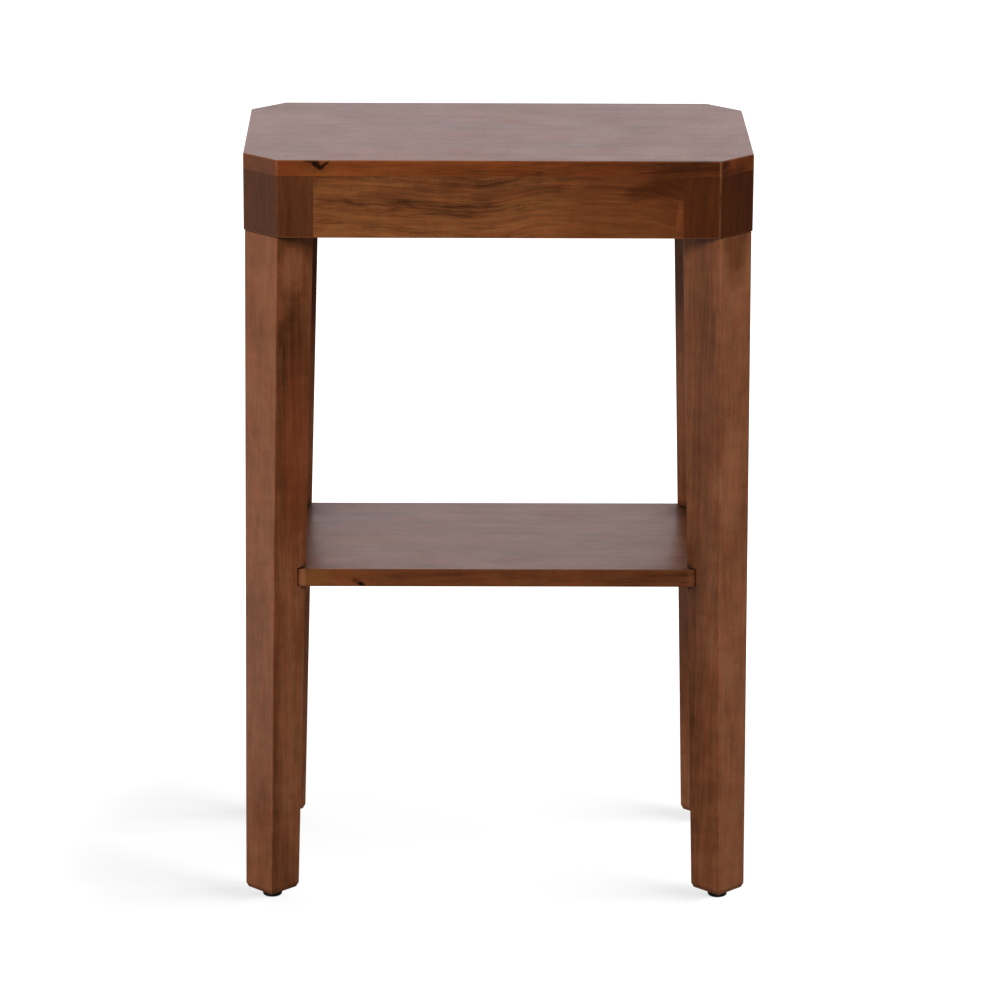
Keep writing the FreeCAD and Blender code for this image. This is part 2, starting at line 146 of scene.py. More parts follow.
def new_group(name, inputs, outputs):
    """A node group. An input's starting value tells its kind by its length: a number, a vector or a
    colour. Outputs are numbers, apart from one called Color."""
    tree = bpy.data.node_groups.new(name, "ShaderNodeTree")
    kinds = {1: "Float", 3: "Vector", 4: "Color"}
    for label, value in inputs.items():
        kind = kinds[len(value) if isinstance(value, tuple) else 1]
        socket = tree.interface.new_socket(label, in_out="INPUT", socket_type="NodeSocket" + kind)
        socket.default_value = value
    for label in outputs:
        kind = "Color" if label == "Color" else "Float"
        tree.interface.new_socket(label, in_out="OUTPUT", socket_type="NodeSocket" + kind)
    print("group", name, "takes", list(inputs), "and gives", list(outputs))
    return tree, tree.nodes.new("NodeGroupInput").outputs, tree.nodes.new("NodeGroupOutput").inputs


def use_group(tree, name, inputs):
    """Place a group in a tree and feed it. Returns its outputs."""
    return place(tree, "Group", inputs, node_tree=bpy.data.node_groups[name]).outputs


def new_material(name):
    """A material with its node tree, its shader and the table's coordinates."""
    material = bpy.data.materials.new(name)
    material.use_nodes = True
    tree = material.node_tree
    return material, tree, tree.nodes["Principled BSDF"], place(tree, "TexCoord").outputs["Object"]


def emboss(tree, shader, height, distance):
    """Let a height of 0 to 1 stand up by a distance in metres."""
    bump = place(tree, "Bump", {"Height": height, "Distance": distance, "Strength": 1.0})
    feed(tree, shader.inputs["Normal"], bump.outputs[0])


def chart(red, green, blue):
    """A colour read off a colour chart in steps of 0 to 255, as the linear values Blender mixes."""
    def linear(step):
        share = step / 255
        return share / 12.92 if share <= 0.04045 else ((share + 0.055) / 1.055) ** 2.4
    return (linear(red), linear(green), linear(blue), 1.0)


ORIGIN = (0.0, 0.0, 0.0)
BLACK = (0.0, 0.0, 0.0, 1.0)
print("helpers ready; middle grey is", round(chart(128, 128, 128)[0], 3))

# %% [markdown]
# ## Floor
# The table stands on a wide sheet of white acrylic that is lit from below, as catalogue studios use.
# A white floor under lamps would do as well, but it greys towards the back and keeps every shadow.
# Here the glow gives most of the brightness, so only the deepest shadows still show. What the wood
# mirrors is another matter: black cards in front and on the right hide the bright sheet from the
# lacquer. The Light Path node tells the camera, the lacquer and the soft light on the wood apart.
# Seen from below the sheet is clear, so the underside can be checked.

# %% Floor
FLOOR_REACH = 40.0
GLOW_NEAR = 0.725  # what the camera sees close to the feet
GLOW_FAR = 1.15
GLOW_RAMP = (0.36, 0.60)  # where it brightens, in metres from the middle
GLOW_ON_WOOD = 0.50
SHEET_WHITE = 0.30  # share of the lamps' light that the sheet throws back to the camera
MIRRORED_LEFT = 0.80
MIRRORED_FRONT = 0.03
MIRRORED_RIGHT = 0.02
CARD_EDGE = (0.2, 0.7)  # from where to where a card's edge lets the sheet show, in metres
SHEET_FADE = (1.4, 2.4)  # where the mirrored sheet dims towards the sides, in metres
SHEET_FADED = 0.6

floor_mesh = bpy.data.meshes.new("floor")
reach = FLOOR_REACH
floor_mesh.from_pydata([(-reach, -reach, 0), (reach, -reach, 0), (reach, reach, 0), (-reach, reach, 0)],
                       [], [(0, 1, 2, 3)])
floor = bpy.data.objects.new("floor", floor_mesh)
bpy.context.scene.collection.objects.link(floor)

sheet = bpy.data.materials.new("lit_white_sheet")
sheet.use_nodes = True
tree = sheet.node_tree
tree.nodes.clear()
ray = place(tree, "LightPath").outputs
spot = place(tree, "TexCoord").outputs["Object"]
run, back = place(tree, "SeparateXYZ", [spot]).outputs[:2]
to_camera = remap(tree, vector_calc(tree, "LENGTH", spot), *GLOW_RAMP, GLOW_NEAR, GLOW_FAR)
in_front = calc(tree, "MINIMUM", back, 0.0)
on_left = remap(tree, calc(tree, "SUBTRACT", in_front, run), *CARD_EDGE, 0.0, MIRRORED_LEFT)
on_right = remap(tree, calc(tree, "ADD", in_front, run), *CARD_EDGE, 0.0, MIRRORED_RIGHT)
near_by = remap(tree, calc(tree, "ABSOLUTE", run), *SHEET_FADE, 1.0, SHEET_FADED)
beside = times(tree, calc(tree, "ADD", on_left, on_right), near_by)
to_lacquer = calc(tree, "ADD", beside, MIRRORED_FRONT)
glow = GLOW_ON_WOOD
for kind, level in (("Is Camera Ray", to_camera), ("Is Glossy Ray", to_lacquer)):
    glow = remap(tree, ray[kind], 0.0, 1.0, glow, level, smooth=False)
shade = times(tree, ray["Is Camera Ray"], SHEET_WHITE)
white = place(tree, "CombineColor", [shade, shade, shade]).outputs[0]
lit = place(tree, "Emission", {"Strength": glow})
matt = place(tree, "BsdfDiffuse", {"Color": white})
face = place(tree, "AddShader", [lit.outputs[0], matt.outputs[0]])
clear = place(tree, "BsdfTransparent")
behind = place(tree, "NewGeometry").outputs["Backfacing"]
surface = place(tree, "MixShader", [behind, face.outputs[0], clear.outputs[0]])
tree.links.new(surface.outputs[0], place(tree, "OutputMaterial").inputs["Surface"])
sheet.cycles.emission_sampling = "NONE"
floor_mesh.materials.append(sheet)
print("floor", 2 * FLOOR_REACH, "m wide")

# %% [markdown]
# ## Room
# The room is dim, with a bright, faintly pink wall low down behind the table. That wall lies as a
# pale veil on the top and the shelf, because they are seen at a shallow angle. The upright faces
# mirror the dark side of the studio instead, so they keep their colour. The room isn't sampled as a
# lamp, because Cycles can't tell mirrored light apart when it is.

# %% Room
ROOM_LIGHT = 0.28
ROOM_MIRRORED = 0.05
BACK_WALL = 1.15
WALL_SPAN = (0.0, 0.7)  # how far a direction points back, from none of the wall to all of it
WALL_TOP = (0.45, 0.85)  # how far it points up, from all of the wall to none of it
WALL_TINT = (1.0, 0.955, 1.0, 1.0)
WHITE_TO_CAMERA = 1.1

world = bpy.data.worlds.new("room")
bpy.context.scene.world = world
world.use_nodes = True
world.cycles.sampling_method = "NONE"
tree = world.node_tree
tree.nodes.clear()
ray = place(tree, "LightPath").outputs
ways = place(tree, "SeparateXYZ", [place(tree, "TexCoord").outputs["Generated"]]).outputs
backward = remap(tree, ways["Y"], *WALL_SPAN)
low_down = remap(tree, ways["Z"], *WALL_TOP, 1.0, 0.0)
dim = remap(tree, ray["Is Glossy Ray"], 0.0, 1.0, ROOM_LIGHT, ROOM_MIRRORED, smooth=False)
strength = remap(tree, times(tree, backward, low_down), 0.0, 1.0, dim, BACK_WALL, smooth=False)
strength = remap(tree, ray["Is Camera Ray"], 0.0, 1.0, strength, WHITE_TO_CAMERA, smooth=False)
tint = blend(tree, ray["Is Glossy Ray"], (1, 1, 1, 1), WALL_TINT)
sky = place(tree, "Background", {"Color": tint, "Strength": strength})
tree.links.new(sky.outputs[0], place(tree, "OutputWorld").inputs["Surface"])
print("room", ROOM_LIGHT, "wall", BACK_WALL)

# %% [markdown]
# ## Lamps
# Large lamps give soft edges, because a point in the half shadow still sees part of them. The main
# soft box stands in front, not quite half-way up the sky, and throws the shadow of the frame onto the
# tops of the legs. A weaker one behind keeps the back from looking flat. The last lamp lights the
# floor alone. It stands four metres off, low on the right and a little in front, and it is very wide,
# so the shadows that it draws to the left of the feet stay soft and short. All three are hidden from
# the lacquer, where they would show as white patches. Light linking keeps them apart: it names what a
# lamp may shine on, while everything still casts its shadow.

# %% Lamps
TABLE_MIDDLE = (0.0, 0.0, 0.35)


def soft_box(name, width, height, place_at, aim_at, watts, lights_floor):
    """A rectangular lamp that faces a point and lights the floor alone, or all but the floor."""
    lamp = bpy.data.lights.new(name, "AREA")
    lamp.shape = "RECTANGLE"
    lamp.size = width
    lamp.size_y = height
    lamp.energy = watts
    holder = bpy.data.objects.new(name, lamp)
    direction = Vector(aim_at) - Vector(place_at)
    turn = direction.to_track_quat("-Z", "Y").to_matrix().to_4x4()
    holder.matrix_world = Matrix.Translation(Vector(place_at)) @ turn
    holder.visible_glossy = False
    bpy.context.scene.collection.objects.link(holder)
    chosen = bpy.data.collections.new(name + "_lights")
    chosen.objects.link(floor)
    chosen.collection_objects[0].light_linking.link_state = "INCLUDE" if lights_floor else "EXCLUDE"
    holder.light_linking.receiver_collection = chosen
    print(name, watts, "W at", tuple(place_at))


soft_box("front_soft_box", 1.3, 1.4, (-0.3, -2.8, 2.55), TABLE_MIDDLE, 86.0, lights_floor=False)
soft_box("back_soft_box", 1.6, 1.2, (1.2, 2.9, 1.70), TABLE_MIDDLE, 24.0, lights_floor=False)
soft_box("shadow_lamp", 4.4, 1.0, (4.0, -0.85, 1.36), ORIGIN, 560.0, lights_floor=True)

# %% [markdown]
# ## Where the log was
# Real grain is solid: a board is a slice of a log, and the rings run through it, so the streaks on a
# face meet the arcs on the end. An image wrapped around a box can't do that. Here every board gets
# its own place in an imaginary log. `log_frame` turns the table's coordinates so that X runs along
# the grain, and puts the log's heart some way under the board. The grain then appears on each face
# as the saw would have found it.


# %% Log frame
def log_frame(tree, spot, along, face, heart):
    """Table coordinates seen from the log: X along the grain, Z out of the board's best face."""
    along = Vector(along).normalized()
    face = (Vector(face) - Vector(face).dot(along) * along).normalized()
    turn = Matrix((along, face.cross(along), face))
    inputs = {"Vector": spot, "Rotation": turn.to_euler(), "Location": turn @ -Vector(heart)}
    return place(tree, "Mapping", inputs, vector_type="POINT").outputs[0]


# %% [markdown]
# ## Figure in the timber
# One group holds everything that the tree grew: broad tone bands and finer ring lines at a distance
# from the heart, fibres, short dark pores, mineral streaks, and curl, the bars of light across the
# grain. Each is noise that has been stretched along X by a different amount. The group puts out
# plain values, so that every board can mix them in its own proportions.

# %% Group: timber figure
# How long each feature runs along the grain, and how wide it is across it.
SWAY = (0.22, 0.07)
FIBRE = (0.018, 0.0011)
FIBRE_BUNDLE = (0.054, 0.0044)
PORE = (0.0045, 0.0008)
STREAK = (0.034, 0.0019)
CURL = (0.012, 0.018)
HUE = (0.030, 0.0045)


def stretched(tree, vector, size):
    """Coordinates in which one unit is a feature's length along the grain and its width across it."""
    length, width = size
    return vector_calc(tree, "MULTIPLY", vector, (1 / length, 1 / width, 1 / width))


tree, given, result = new_group(
    "timber_figure",
    {"Vector": ORIGIN, "Ring Width": 0.006, "Waver": 0.008, "Lift": 0.0, "Swell": 0.0, "Streaks": 0.5},
    ("Bands", "Lines", "Fibre", "Pores", "Streaks", "Curl", "Hue"))
loose = noise(tree, stretched(tree, given["Vector"], SWAY), 1.0, 2.0, 0.5, "Color")
sway = vector_calc(tree, "SUBTRACT", loose, (0.5, 0.5, 0.5))
sway = vector_calc(tree, "SCALE", sway, None, None, times(tree, given["Waver"], 2.0))
lift = place(tree, "CombineXYZ", {"Y": given["Lift"]}).outputs[0]
grown = vector_calc(tree, "ADD", vector_calc(tree, "SUBTRACT", given["Vector"], lift), sway)
from_heart = vector_calc(tree, "LENGTH", vector_calc(tree, "MULTIPLY", grown, (0, 1, 1)))
age = calc(tree, "DIVIDE", calc(tree, "ADD", from_heart, given["Swell"]), given["Ring Width"])

bands = noise(tree, age, 0.45, 2.0, 0.55, dimensions="1D")
feed(tree, result["Bands"], remap(tree, bands, 0.30, 0.70))
jitter = noise(tree, age, 0.8, 1.0, 0.5, dimensions="1D")
ring_share = calc(tree, "FRACT", calc(tree, "ADD", age, times(tree, jitter, 2.5)))
late = remap(tree, ring_share, 0.25, 0.97)
fade = remap(tree, ring_share, 0.97, 1.0, 1.0, 0.0)
feed(tree, result["Lines"], times(tree, late, fade))

fine = noise(tree, stretched(tree, grown, FIBRE), 1.0, 3.0, 0.6)
coarse = noise(tree, stretched(tree, grown, FIBRE_BUNDLE), 1.0, 2.0, 0.5)
fibre = calc(tree, "ADD", times(tree, fine, 0.5), times(tree, coarse, 0.5))
feed(tree, result["Fibre"], remap(tree, fibre, 0.32, 0.68, smooth=False))

cells = place(tree, "TexVoronoi", {"Vector": stretched(tree, grown, PORE), "Scale": 1.0}).outputs
chosen = place(tree, "SeparateColor", [cells["Color"]]).outputs[0]
hollow = remap(tree, cells["Distance"], 0.12, 0.34, 1.0, 0.0)
feed(tree, result["Pores"], times(tree, hollow, remap(tree, chosen, 0.35, 0.8)))

vein = noise(tree, stretched(tree, grown, STREAK), 1.0, 3.0, 0.6)
start = calc(tree, "SUBTRACT", 0.78, times(tree, given["Streaks"], 0.3))
feed(tree, result["Streaks"], remap(tree, vein, start, calc(tree, "ADD", start, 0.16)))
bars = noise(tree, stretched(tree, grown, CURL), 1.0, 1.0, 0.5)
feed(tree, result["Curl"], remap(tree, bars, 0.3, 0.7))
turned = noise(tree, stretched(tree, grown, HUE), 1.0, 2.0, 0.6)
feed(tree, result["Hue"], remap(tree, turned, 0.3, 0.7, smooth=False))

# %% [markdown]
# ## A mark in the timber
# Knots and mineral stains sit at one place in a board. They could be painted on, but a painted knot
# doesn't bend the grain beside it. A mark is a soft ellipsoid about its place with a ragged edge, and
# `Tilt` turns it in the plane of the front. Its `Mask` says where it is. Its `Swell` pushes the rings
# outwards, so they part and close again around a knot as water does around a stone. Marks are placed
# on upright faces, so a `marker` is made once for each face.

# %% Group: mark
tree, given, result = new_group(
    "timber_mark",
    {"Vector": ORIGIN, "Place": ORIGIN, "Reach": ORIGIN, "Tilt": 0.0, "Ragged": 0.5, "Push": 0.0},
    ("Mask", "Swell"))
from_place = vector_calc(tree, "SUBTRACT", given["Vector"], given["Place"])
level = place(tree, "VectorRotate", {"Vector": from_place, "Angle": given["Tilt"]},
              rotation_type="Y_AXIS", invert=True).outputs[0]
offset = vector_calc(tree, "DIVIDE", level, given["Reach"])
torn = vector_calc(tree, "SUBTRACT", noise(tree, offset, 1.1, 3.0, 0.6, "Color"), (0.5, 0.5, 0.5))
torn = vector_calc(tree, "SCALE", torn, None, None, times(tree, given["Ragged"], 2.0))
ragged = vector_calc(tree, "LENGTH", vector_calc(tree, "ADD", offset, torn))
feed(tree, result["Mask"], remap(tree, ragged, 0.35, 1.0, 1.0, 0.0))
near = remap(tree, vector_calc(tree, "LENGTH", offset), 0.2, 2.4, 1.0, 0.0)
feed(tree, result["Swell"], times(tree, near, given["Push"]))


def marker(face_y, base, depth):
    """A helper for one face. It takes x, the height over a base line, half a width and half a height."""
    def mark(x, up, wide, high_by, ragged=0.4, tilt=0.0, push=0.0, deep=depth, y=face_y):
        return {"Place": (x, y, base + up), "Reach": (wide, deep, high_by), "Ragged": ragged,
                "Tilt": tilt, "Push": push}
    return mark


# %% [markdown]
# ## Stain
# Stain sinks deeper into soft early wood and open pores, so the same brush leaves three tones. One
# brown with some noise on it would look printed. So the group lays the figure's values on a scale
# from dark over middle to light, then darkens the pores.
# `Depth` sets how far the figure may pull the tone. A slow blotch follows no grain at all: it is the
# uneven hand of whoever wiped the stain.

# %% Group: stain
REDDISH = (1.06, 0.93, 0.92, 1.0)
GOLDEN = (0.94, 1.06, 1.02, 1.0)
tree, given, result = new_group(
    "wiped_stain",
    {"Vector": ORIGIN, "Bands": 0.5, "Lines": 0.0, "Fibre": 0.5, "Pores": 0.0, "Streaks": 0.0, "Curl": 0.5,
     "Hue": 0.5, "Mark": 0.0, "Depth": 1.0, "Curl Depth": 0.2, "Shift": 0.0,
     "Light": chart(150, 92, 54), "Middle": chart(120, 68, 38), "Dark": chart(64, 32, 16)},
    ("Color",))
tone = pull(tree, 0.0, given["Bands"], 0.5, 0.20)
tone = pull(tree, tone, given["Lines"], 0.3, -0.10)
tone = pull(tree, tone, given["Fibre"], 0.5, 0.50)
tone = times(tree, tone, given["Depth"])
tone = pull(tree, tone, given["Curl"], 0.5, given["Curl Depth"])
tone = pull(tree, tone, given["Streaks"], 0.0, -0.25)
tone = pull(tree, tone, noise(tree, given["Vector"], 13.0, 2.0, 0.5), 0.5, 0.45)
tone = calc(tree, "ADD", calc(tree, "ADD", tone, 0.5), given["Shift"], clamp=True)
lower = blend(tree, remap(tree, tone, 0.0, 0.5, smooth=False), given["Dark"], given["Middle"])
colour = blend(tree, remap(tree, tone, 0.5, 1.0, smooth=False), lower, given["Light"])
leaning = blend(tree, given["Hue"], REDDISH, GOLDEN)
colour = blend(tree, 1.0, colour, leaning, mode="MULTIPLY")
colour = blend(tree, times(tree, given["Pores"], 0.55), colour, given["Dark"])
soot = blend(tree, 0.65, given["Dark"], BLACK)
feed(tree, result["Color"], blend(tree, given["Mark"], colour, soot))

# %% [markdown]
# ## Rubbed arrises
# Hands and cloths rub the stain off the sharp lines first. Narrow pale faces along the edges could
# show it, but the joiner's shapes stay as they are. So the Bevel node asks what the normal would be
# if the edges were rounder: where its answer differs from the true normal, an edge is near. Noise
# breaks the mask up, because nothing wears evenly.


# %% Group: rubbed arrises
def unevenly(tree, vector, edge, least):
    """Wear an edge's mask down to its least in patches."""
    return times(tree, edge, remap(tree, noise(tree, vector, 60.0, 3.0, 0.6), 0.30, 0.62, least, 1.0))


tree, given, result = new_group("rubbed_arris", {"Vector": ORIGIN, "Radius": 0.0016}, ("Mask",))
round_normal = place(tree, "Bevel", {"Radius": given["Radius"]}, samples=6).outputs[0]
true_normal = place(tree, "NewGeometry").outputs["Normal"]
edge = remap(tree, vector_calc(tree, "DOT_PRODUCT", round_normal, true_normal), 0.995, 0.80)
feed(tree, result["Mask"], unevenly(tree, given["Vector"], edge, 0.25))

# %% [markdown]
# ## Rubbed outline
# The top and the frame share one plan: a rectangle with clipped corners. Their seams are edges too,
# but nobody rubs a seam. So this group works from the plan instead. It measures how far a point lies
# inside the three lines that bound it, and marks the upper and lower rim and the upright corners
# where two of the lines meet.

# %% Group: rubbed outline
tree, given, result = new_group(
    "rubbed_outline",
    {"Vector": ORIGIN, "Half Width": 0.2, "Half Depth": 0.1, "Clip": 0.03, "Upper": 9.0, "Lower": -9.0,
     "Reach": 0.0012, "Corners": 1.0},
    ("Mask",))
x, y, z = place(tree, "SeparateXYZ", [given["Vector"]]).outputs
inside_x = calc(tree, "SUBTRACT", given["Half Width"], calc(tree, "ABSOLUTE", x))
inside_y = calc(tree, "SUBTRACT", given["Half Depth"], calc(tree, "ABSOLUTE", y))
past_clip = calc(tree, "SUBTRACT", calc(tree, "ADD", inside_x, inside_y), given["Clip"])
inside_clip = calc(tree, "DIVIDE", past_clip, math.sqrt(2.0))


def close_to(distance):
    return remap(tree, calc(tree, "DIVIDE", distance, given["Reach"]), 0.5, 1.0, 1.0, 0.0)


rim = close_to(calc(tree, "MINIMUM", calc(tree, "MINIMUM", inside_x, inside_y), inside_clip))
level = calc(tree, "MAXIMUM", close_to(calc(tree, "SUBTRACT", given["Upper"], z)),
             close_to(calc(tree, "SUBTRACT", z, given["Lower"])))
corner = calc(tree, "MAXIMUM", close_to(calc(tree, "MAXIMUM", inside_x, inside_clip)),
              close_to(calc(tree, "MAXIMUM", inside_y, inside_clip)))
edge = calc(tree, "MAXIMUM", times(tree, corner, given["Corners"]), times(tree, rim, level))
feed(tree, result["Mask"], unevenly(tree, given["Vector"], edge, 0.35))

# %% [markdown]
# ## Closed corners and facing sides
# Where two boards meet, stain runs in and dust stays. The darkening that follows from the first
# group is partly that dirt and partly painted shade, where a neighbour keeps the light off. The
# Ambient Occlusion node measures how closed in a point is: it is 1 in the open and falls where a
# neighbour stands within its distance. Daylight bleaches the faces that look outwards, and dust
# settles on level ones. Where the second group lightens outward faces or darkens level ones, it is
# partly painted light and shade. The second group is strongest where a face looks straight in the
# given direction.

# %% Groups: closed corner and facing side
tree, given, result = new_group("closed_corner", {"Distance": 0.006}, ("Mask",))
open_share = place(tree, "AmbientOcclusion", {"Distance": given["Distance"]}, samples=8).outputs["AO"]
feed(tree, result["Mask"], remap(tree, open_share, 0.45, 0.95, 1.0, 0.0))

tree, given, result = new_group("facing_side", {"Towards": (0.0, -1.0, 0.0)}, ("Mask",))
face_normal = place(tree, "NewGeometry").outputs["True Normal"]
facing = vector_calc(tree, "DOT_PRODUCT", face_normal, given["Towards"])
feed(tree, result["Mask"], remap(tree, facing, 0.55, 0.95))

# %% [markdown]
# ## Satin lacquer
# A sprayed lacquer film is smooth but not even: it is duller where it sank into open grain and
# shinier where sleeves polish it. A separate clear coat over the wood would be the heavier way. With
# a thin satin film it looks much the same when the wood's own surface has the film's roughness. So
# the group turns fibres and pores into roughness, and gives a height so that they show faintly.

# %% Group: satin lacquer
tree, given, result = new_group(
    "satin_lacquer", {"Vector": ORIGIN, "Fibre": 0.5, "Pores": 0.0, "Mark": 0.0, "Gloss": 0.36},
    ("Roughness", "Height"))
rough = pull(tree, given["Gloss"], noise(tree, given["Vector"], 22.0, 3.0, 0.55), 0.5, 0.14)
rough = pull(tree, rough, given["Fibre"], 0.5, -0.04)
feed(tree, result["Roughness"], pull(tree, rough, given["Pores"], 0.0, 0.10))
height = pull(tree, times(tree, given["Fibre"], 0.35), given["Pores"], 0.0, -0.8)
height = pull(tree, height, given["Mark"], 0.0, -0.6)
film = noise(tree, given["Vector"], 700.0, 2.0, 0.5)
feed(tree, result["Height"], pull(tree, height, film, 0.5, 0.25))

# %% [markdown]
# ## Stained wood, put together
# Every wooden part uses the same recipe with its own numbers: where it lay in the log, how wide the
# rings are, how strong each effect is, which three stains were used, and which marks it carries. The
# shader itself stays in the material, with the index of the lacquer and the depth of the relief set
# on its own sockets.


# %% Recipe for stained wood
FIGURE = ("Bands", "Lines", "Fibre", "Pores", "Streaks", "Curl", "Hue")
BARE_WOOD = chart(190, 130, 84)
LACQUER_INDEX = 1.5
LACQUER_SHINE = 0.25


def stained_wood(name, along, face, heart, stains, ring_width=0.006, waver=0.008, depth=1.0, curl=0.1,
                 streaks=0.3, shift=0.0, gloss=0.30, knots=(), bends=(), veins=(), shades=(), tints=(),
                 rubbed=0.35, outline=None, faded=None, fade_and_light=0.5, shade_reach=0.006, dusty=None,
                 relief=0.00008):
    material, tree, shader, spot = new_material(name)
    light, middle, dark = stains

    def marked(start, marks, output="Mask"):
        """Pull a value by each of its marks."""
        for amount, mark in marks:
            one = use_group(tree, "timber_mark", {"Vector": spot, **mark})
            start = pull(tree, start, one[output], 0.0, amount)
        return start

    heart_mask = calc(tree, "MINIMUM", marked(0.0, knots), 1.0)
    shift = marked(shift, shades)
    # Paled wood and painted light: faces that look the given way are made lighter.
    if faded is not None:
        bleached_and_lit = use_group(tree, "facing_side", {"Towards": faded.normalized()})["Mask"]
        shift = pull(tree, shift, bleached_and_lit, 0.0, fade_and_light)
    figure = use_group(tree, "timber_figure", {
        "Vector": log_frame(tree, spot, along, face, heart), "Ring Width": ring_width, "Waver": waver,
        "Lift": marked(0.0, bends), "Swell": marked(0.0, knots, "Swell"), "Streaks": marked(streaks, veins)})
    grown = {label: figure[label] for label in FIGURE}
    colour = use_group(tree, "wiped_stain", {
        "Vector": spot, "Mark": heart_mask, "Depth": depth, "Curl Depth": curl, "Shift": shift,
        "Light": light, "Middle": middle, "Dark": dark, **grown})["Color"]
    for amount, tint, mark in tints:
        one = use_group(tree, "timber_mark", {"Vector": spot, **mark})
        colour = blend(tree, times(tree, one["Mask"], amount), colour, tint)
    if outline is None:
        worn = use_group(tree, "rubbed_arris", {"Vector": spot})["Mask"]
    else:
        worn = use_group(tree, "rubbed_outline", {"Vector": spot, **outline})["Mask"]
    # Pooled stain and painted shade: the colour darkens where a neighbour stands within the reach.
    closed = use_group(tree, "closed_corner", {"Distance": shade_reach})["Mask"]
    colour = blend(tree, times(tree, worn, rubbed), colour, blend(tree, 0.5, light, BARE_WOOD))
    colour = blend(tree, times(tree, closed, 0.7), colour, blend(tree, 0.6, dark, BLACK))
    # Dust and painted shade: level faces darken and dull where neighbours close them in.
    if dusty is not None:
        level = use_group(tree, "facing_side", {"Towards": (0, 0, 1)})["Mask"]
        settled_and_shaded = times(tree, use_group(tree, "closed_corner", {"Distance": dusty})["Mask"], level)
        colour = blend(tree, times(tree, settled_and_shaded, 0.6), colour, dark)
        gloss = pull(tree, gloss, settled_and_shaded, 0.0, 0.45)
    film = use_group(tree, "satin_lacquer", {
        "Vector": spot, "Fibre": figure["Fibre"], "Pores": figure["Pores"], "Mark": heart_mask,
        "Gloss": gloss})

    feed(tree, shader.inputs["Base Color"], colour)
    feed(tree, shader.inputs["Roughness"], film["Roughness"])
    shader.inputs["IOR"].default_value = LACQUER_INDEX
    shader.inputs["Specular IOR Level"].default_value = LACQUER_SHINE
    emboss(tree, shader, film["Height"], relief)
    return material


def finish_node(node, *recipe, **numbers):
    """Make a part's own wood and give it to the part."""
    material = stained_wood(node + "_wood", *recipe, **numbers)
    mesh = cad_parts[node].data
    mesh.materials.clear()
    mesh.materials.append(material)
    print(node, "->", material.name)


print("wood recipe ready; it reads", FIGURE)

# %% [markdown]
# ## The top board
# The top is one panel with its grain along the table. Its heart lies below the board, so the rings
# come up through the face in long arches. A small knot breaks out of the front arris near the left
# end: two dark strokes that meet in a point, in reddish wood. The edge darkens towards the right.

# %% Top board
KNOT_DEPTH = 0.006
FACE_DEPTH = 0.012
TOP_CLIP = 0.031
TOP_STAINS = (chart(136, 72, 30), chart(112, 54, 20), chart(62, 28, 8))
low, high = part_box("top_board")
PLAN = {"Half Width": high.x, "Half Depth": high.y, "Clip": TOP_CLIP}
on_top = marker(low.y, high.z, FACE_DEPTH)
finish_node(
    "top_board", (1, 0.01, 0), (0, 0, 1), (0, 0.02, high.z - 0.075), TOP_STAINS, ring_width=0.009,
    waver=0.010, depth=0.8, curl=0.06, rubbed=0.32, outline={**PLAN, "Upper": high.z}, relief=0.00004,
    knots=[(0.80, on_top(-0.1665, -0.0010, 0.0100, 0.0013, 0.3, tilt=0.06, deep=KNOT_DEPTH)),
           (0.85, on_top(-0.1624, -0.0032, 0.0066, 0.0040, 0.4, tilt=0.80, deep=KNOT_DEPTH)),
           (0.85, on_top(-0.1545, -0.0034, 0.0064, 0.0016, 0.3, tilt=-0.70, deep=KNOT_DEPTH)),
           (0.80, on_top(-0.1583, -0.0064, 0.0036, 0.0026, 0.4, push=0.006, deep=KNOT_DEPTH)),
           (0.20, on_top(-0.1640, -0.0050, 0.0200, 0.0080, 0.5, deep=0.008))],
    shades=[(0.14, on_top(-0.130, -0.006, 0.090, 0.020, 0.3)),
            (-0.10, on_top(0.120, -0.006, 0.110, 0.030, 0.3)),
            (-0.28, on_top(high.x - 0.02, -0.010, 0.120, 0.040, 0.2)),
            (-0.16, on_top(low.x, -0.012, 0.036, 0.012, 0.1, deep=0.036)),
            (-0.30, on_top(high.x, -0.012, 0.036, 0.016, 0.1, deep=0.036))],
    veins=[(0.60, on_top(0.150, -0.005, 0.070, 0.008, 0.5)),
           (0.80, on_top(0.033, -0.0105, 0.012, 0.003))],
    tints=[(0.35, chart(112, 46, 18), on_top(-0.190, -0.006, 0.024, 0.012, 0.5, deep=0.010)),
           # Painted reflection: the left clipped face is tinted paler and pinker, as if its lacquer mirrored
           # the bright room.
           (0.50, chart(104, 66, 48),
            on_top(low.x + 0.012, -0.008, 0.030, 0.020, 0.1, deep=0.030, y=low.y + 0.012))])

# %% [markdown]
# ## The shelf
# The shelf is cut from the same stock as the top. It sits in the shade of the top, so it reads darker.
# Close to the legs it is darker and duller still: dust has gathered there, and painted shade darkens it
# as well. It has one small hooked knot low on its front edge. The rounded front corners are paler
# where they pass into the legs, the left one more than the right.

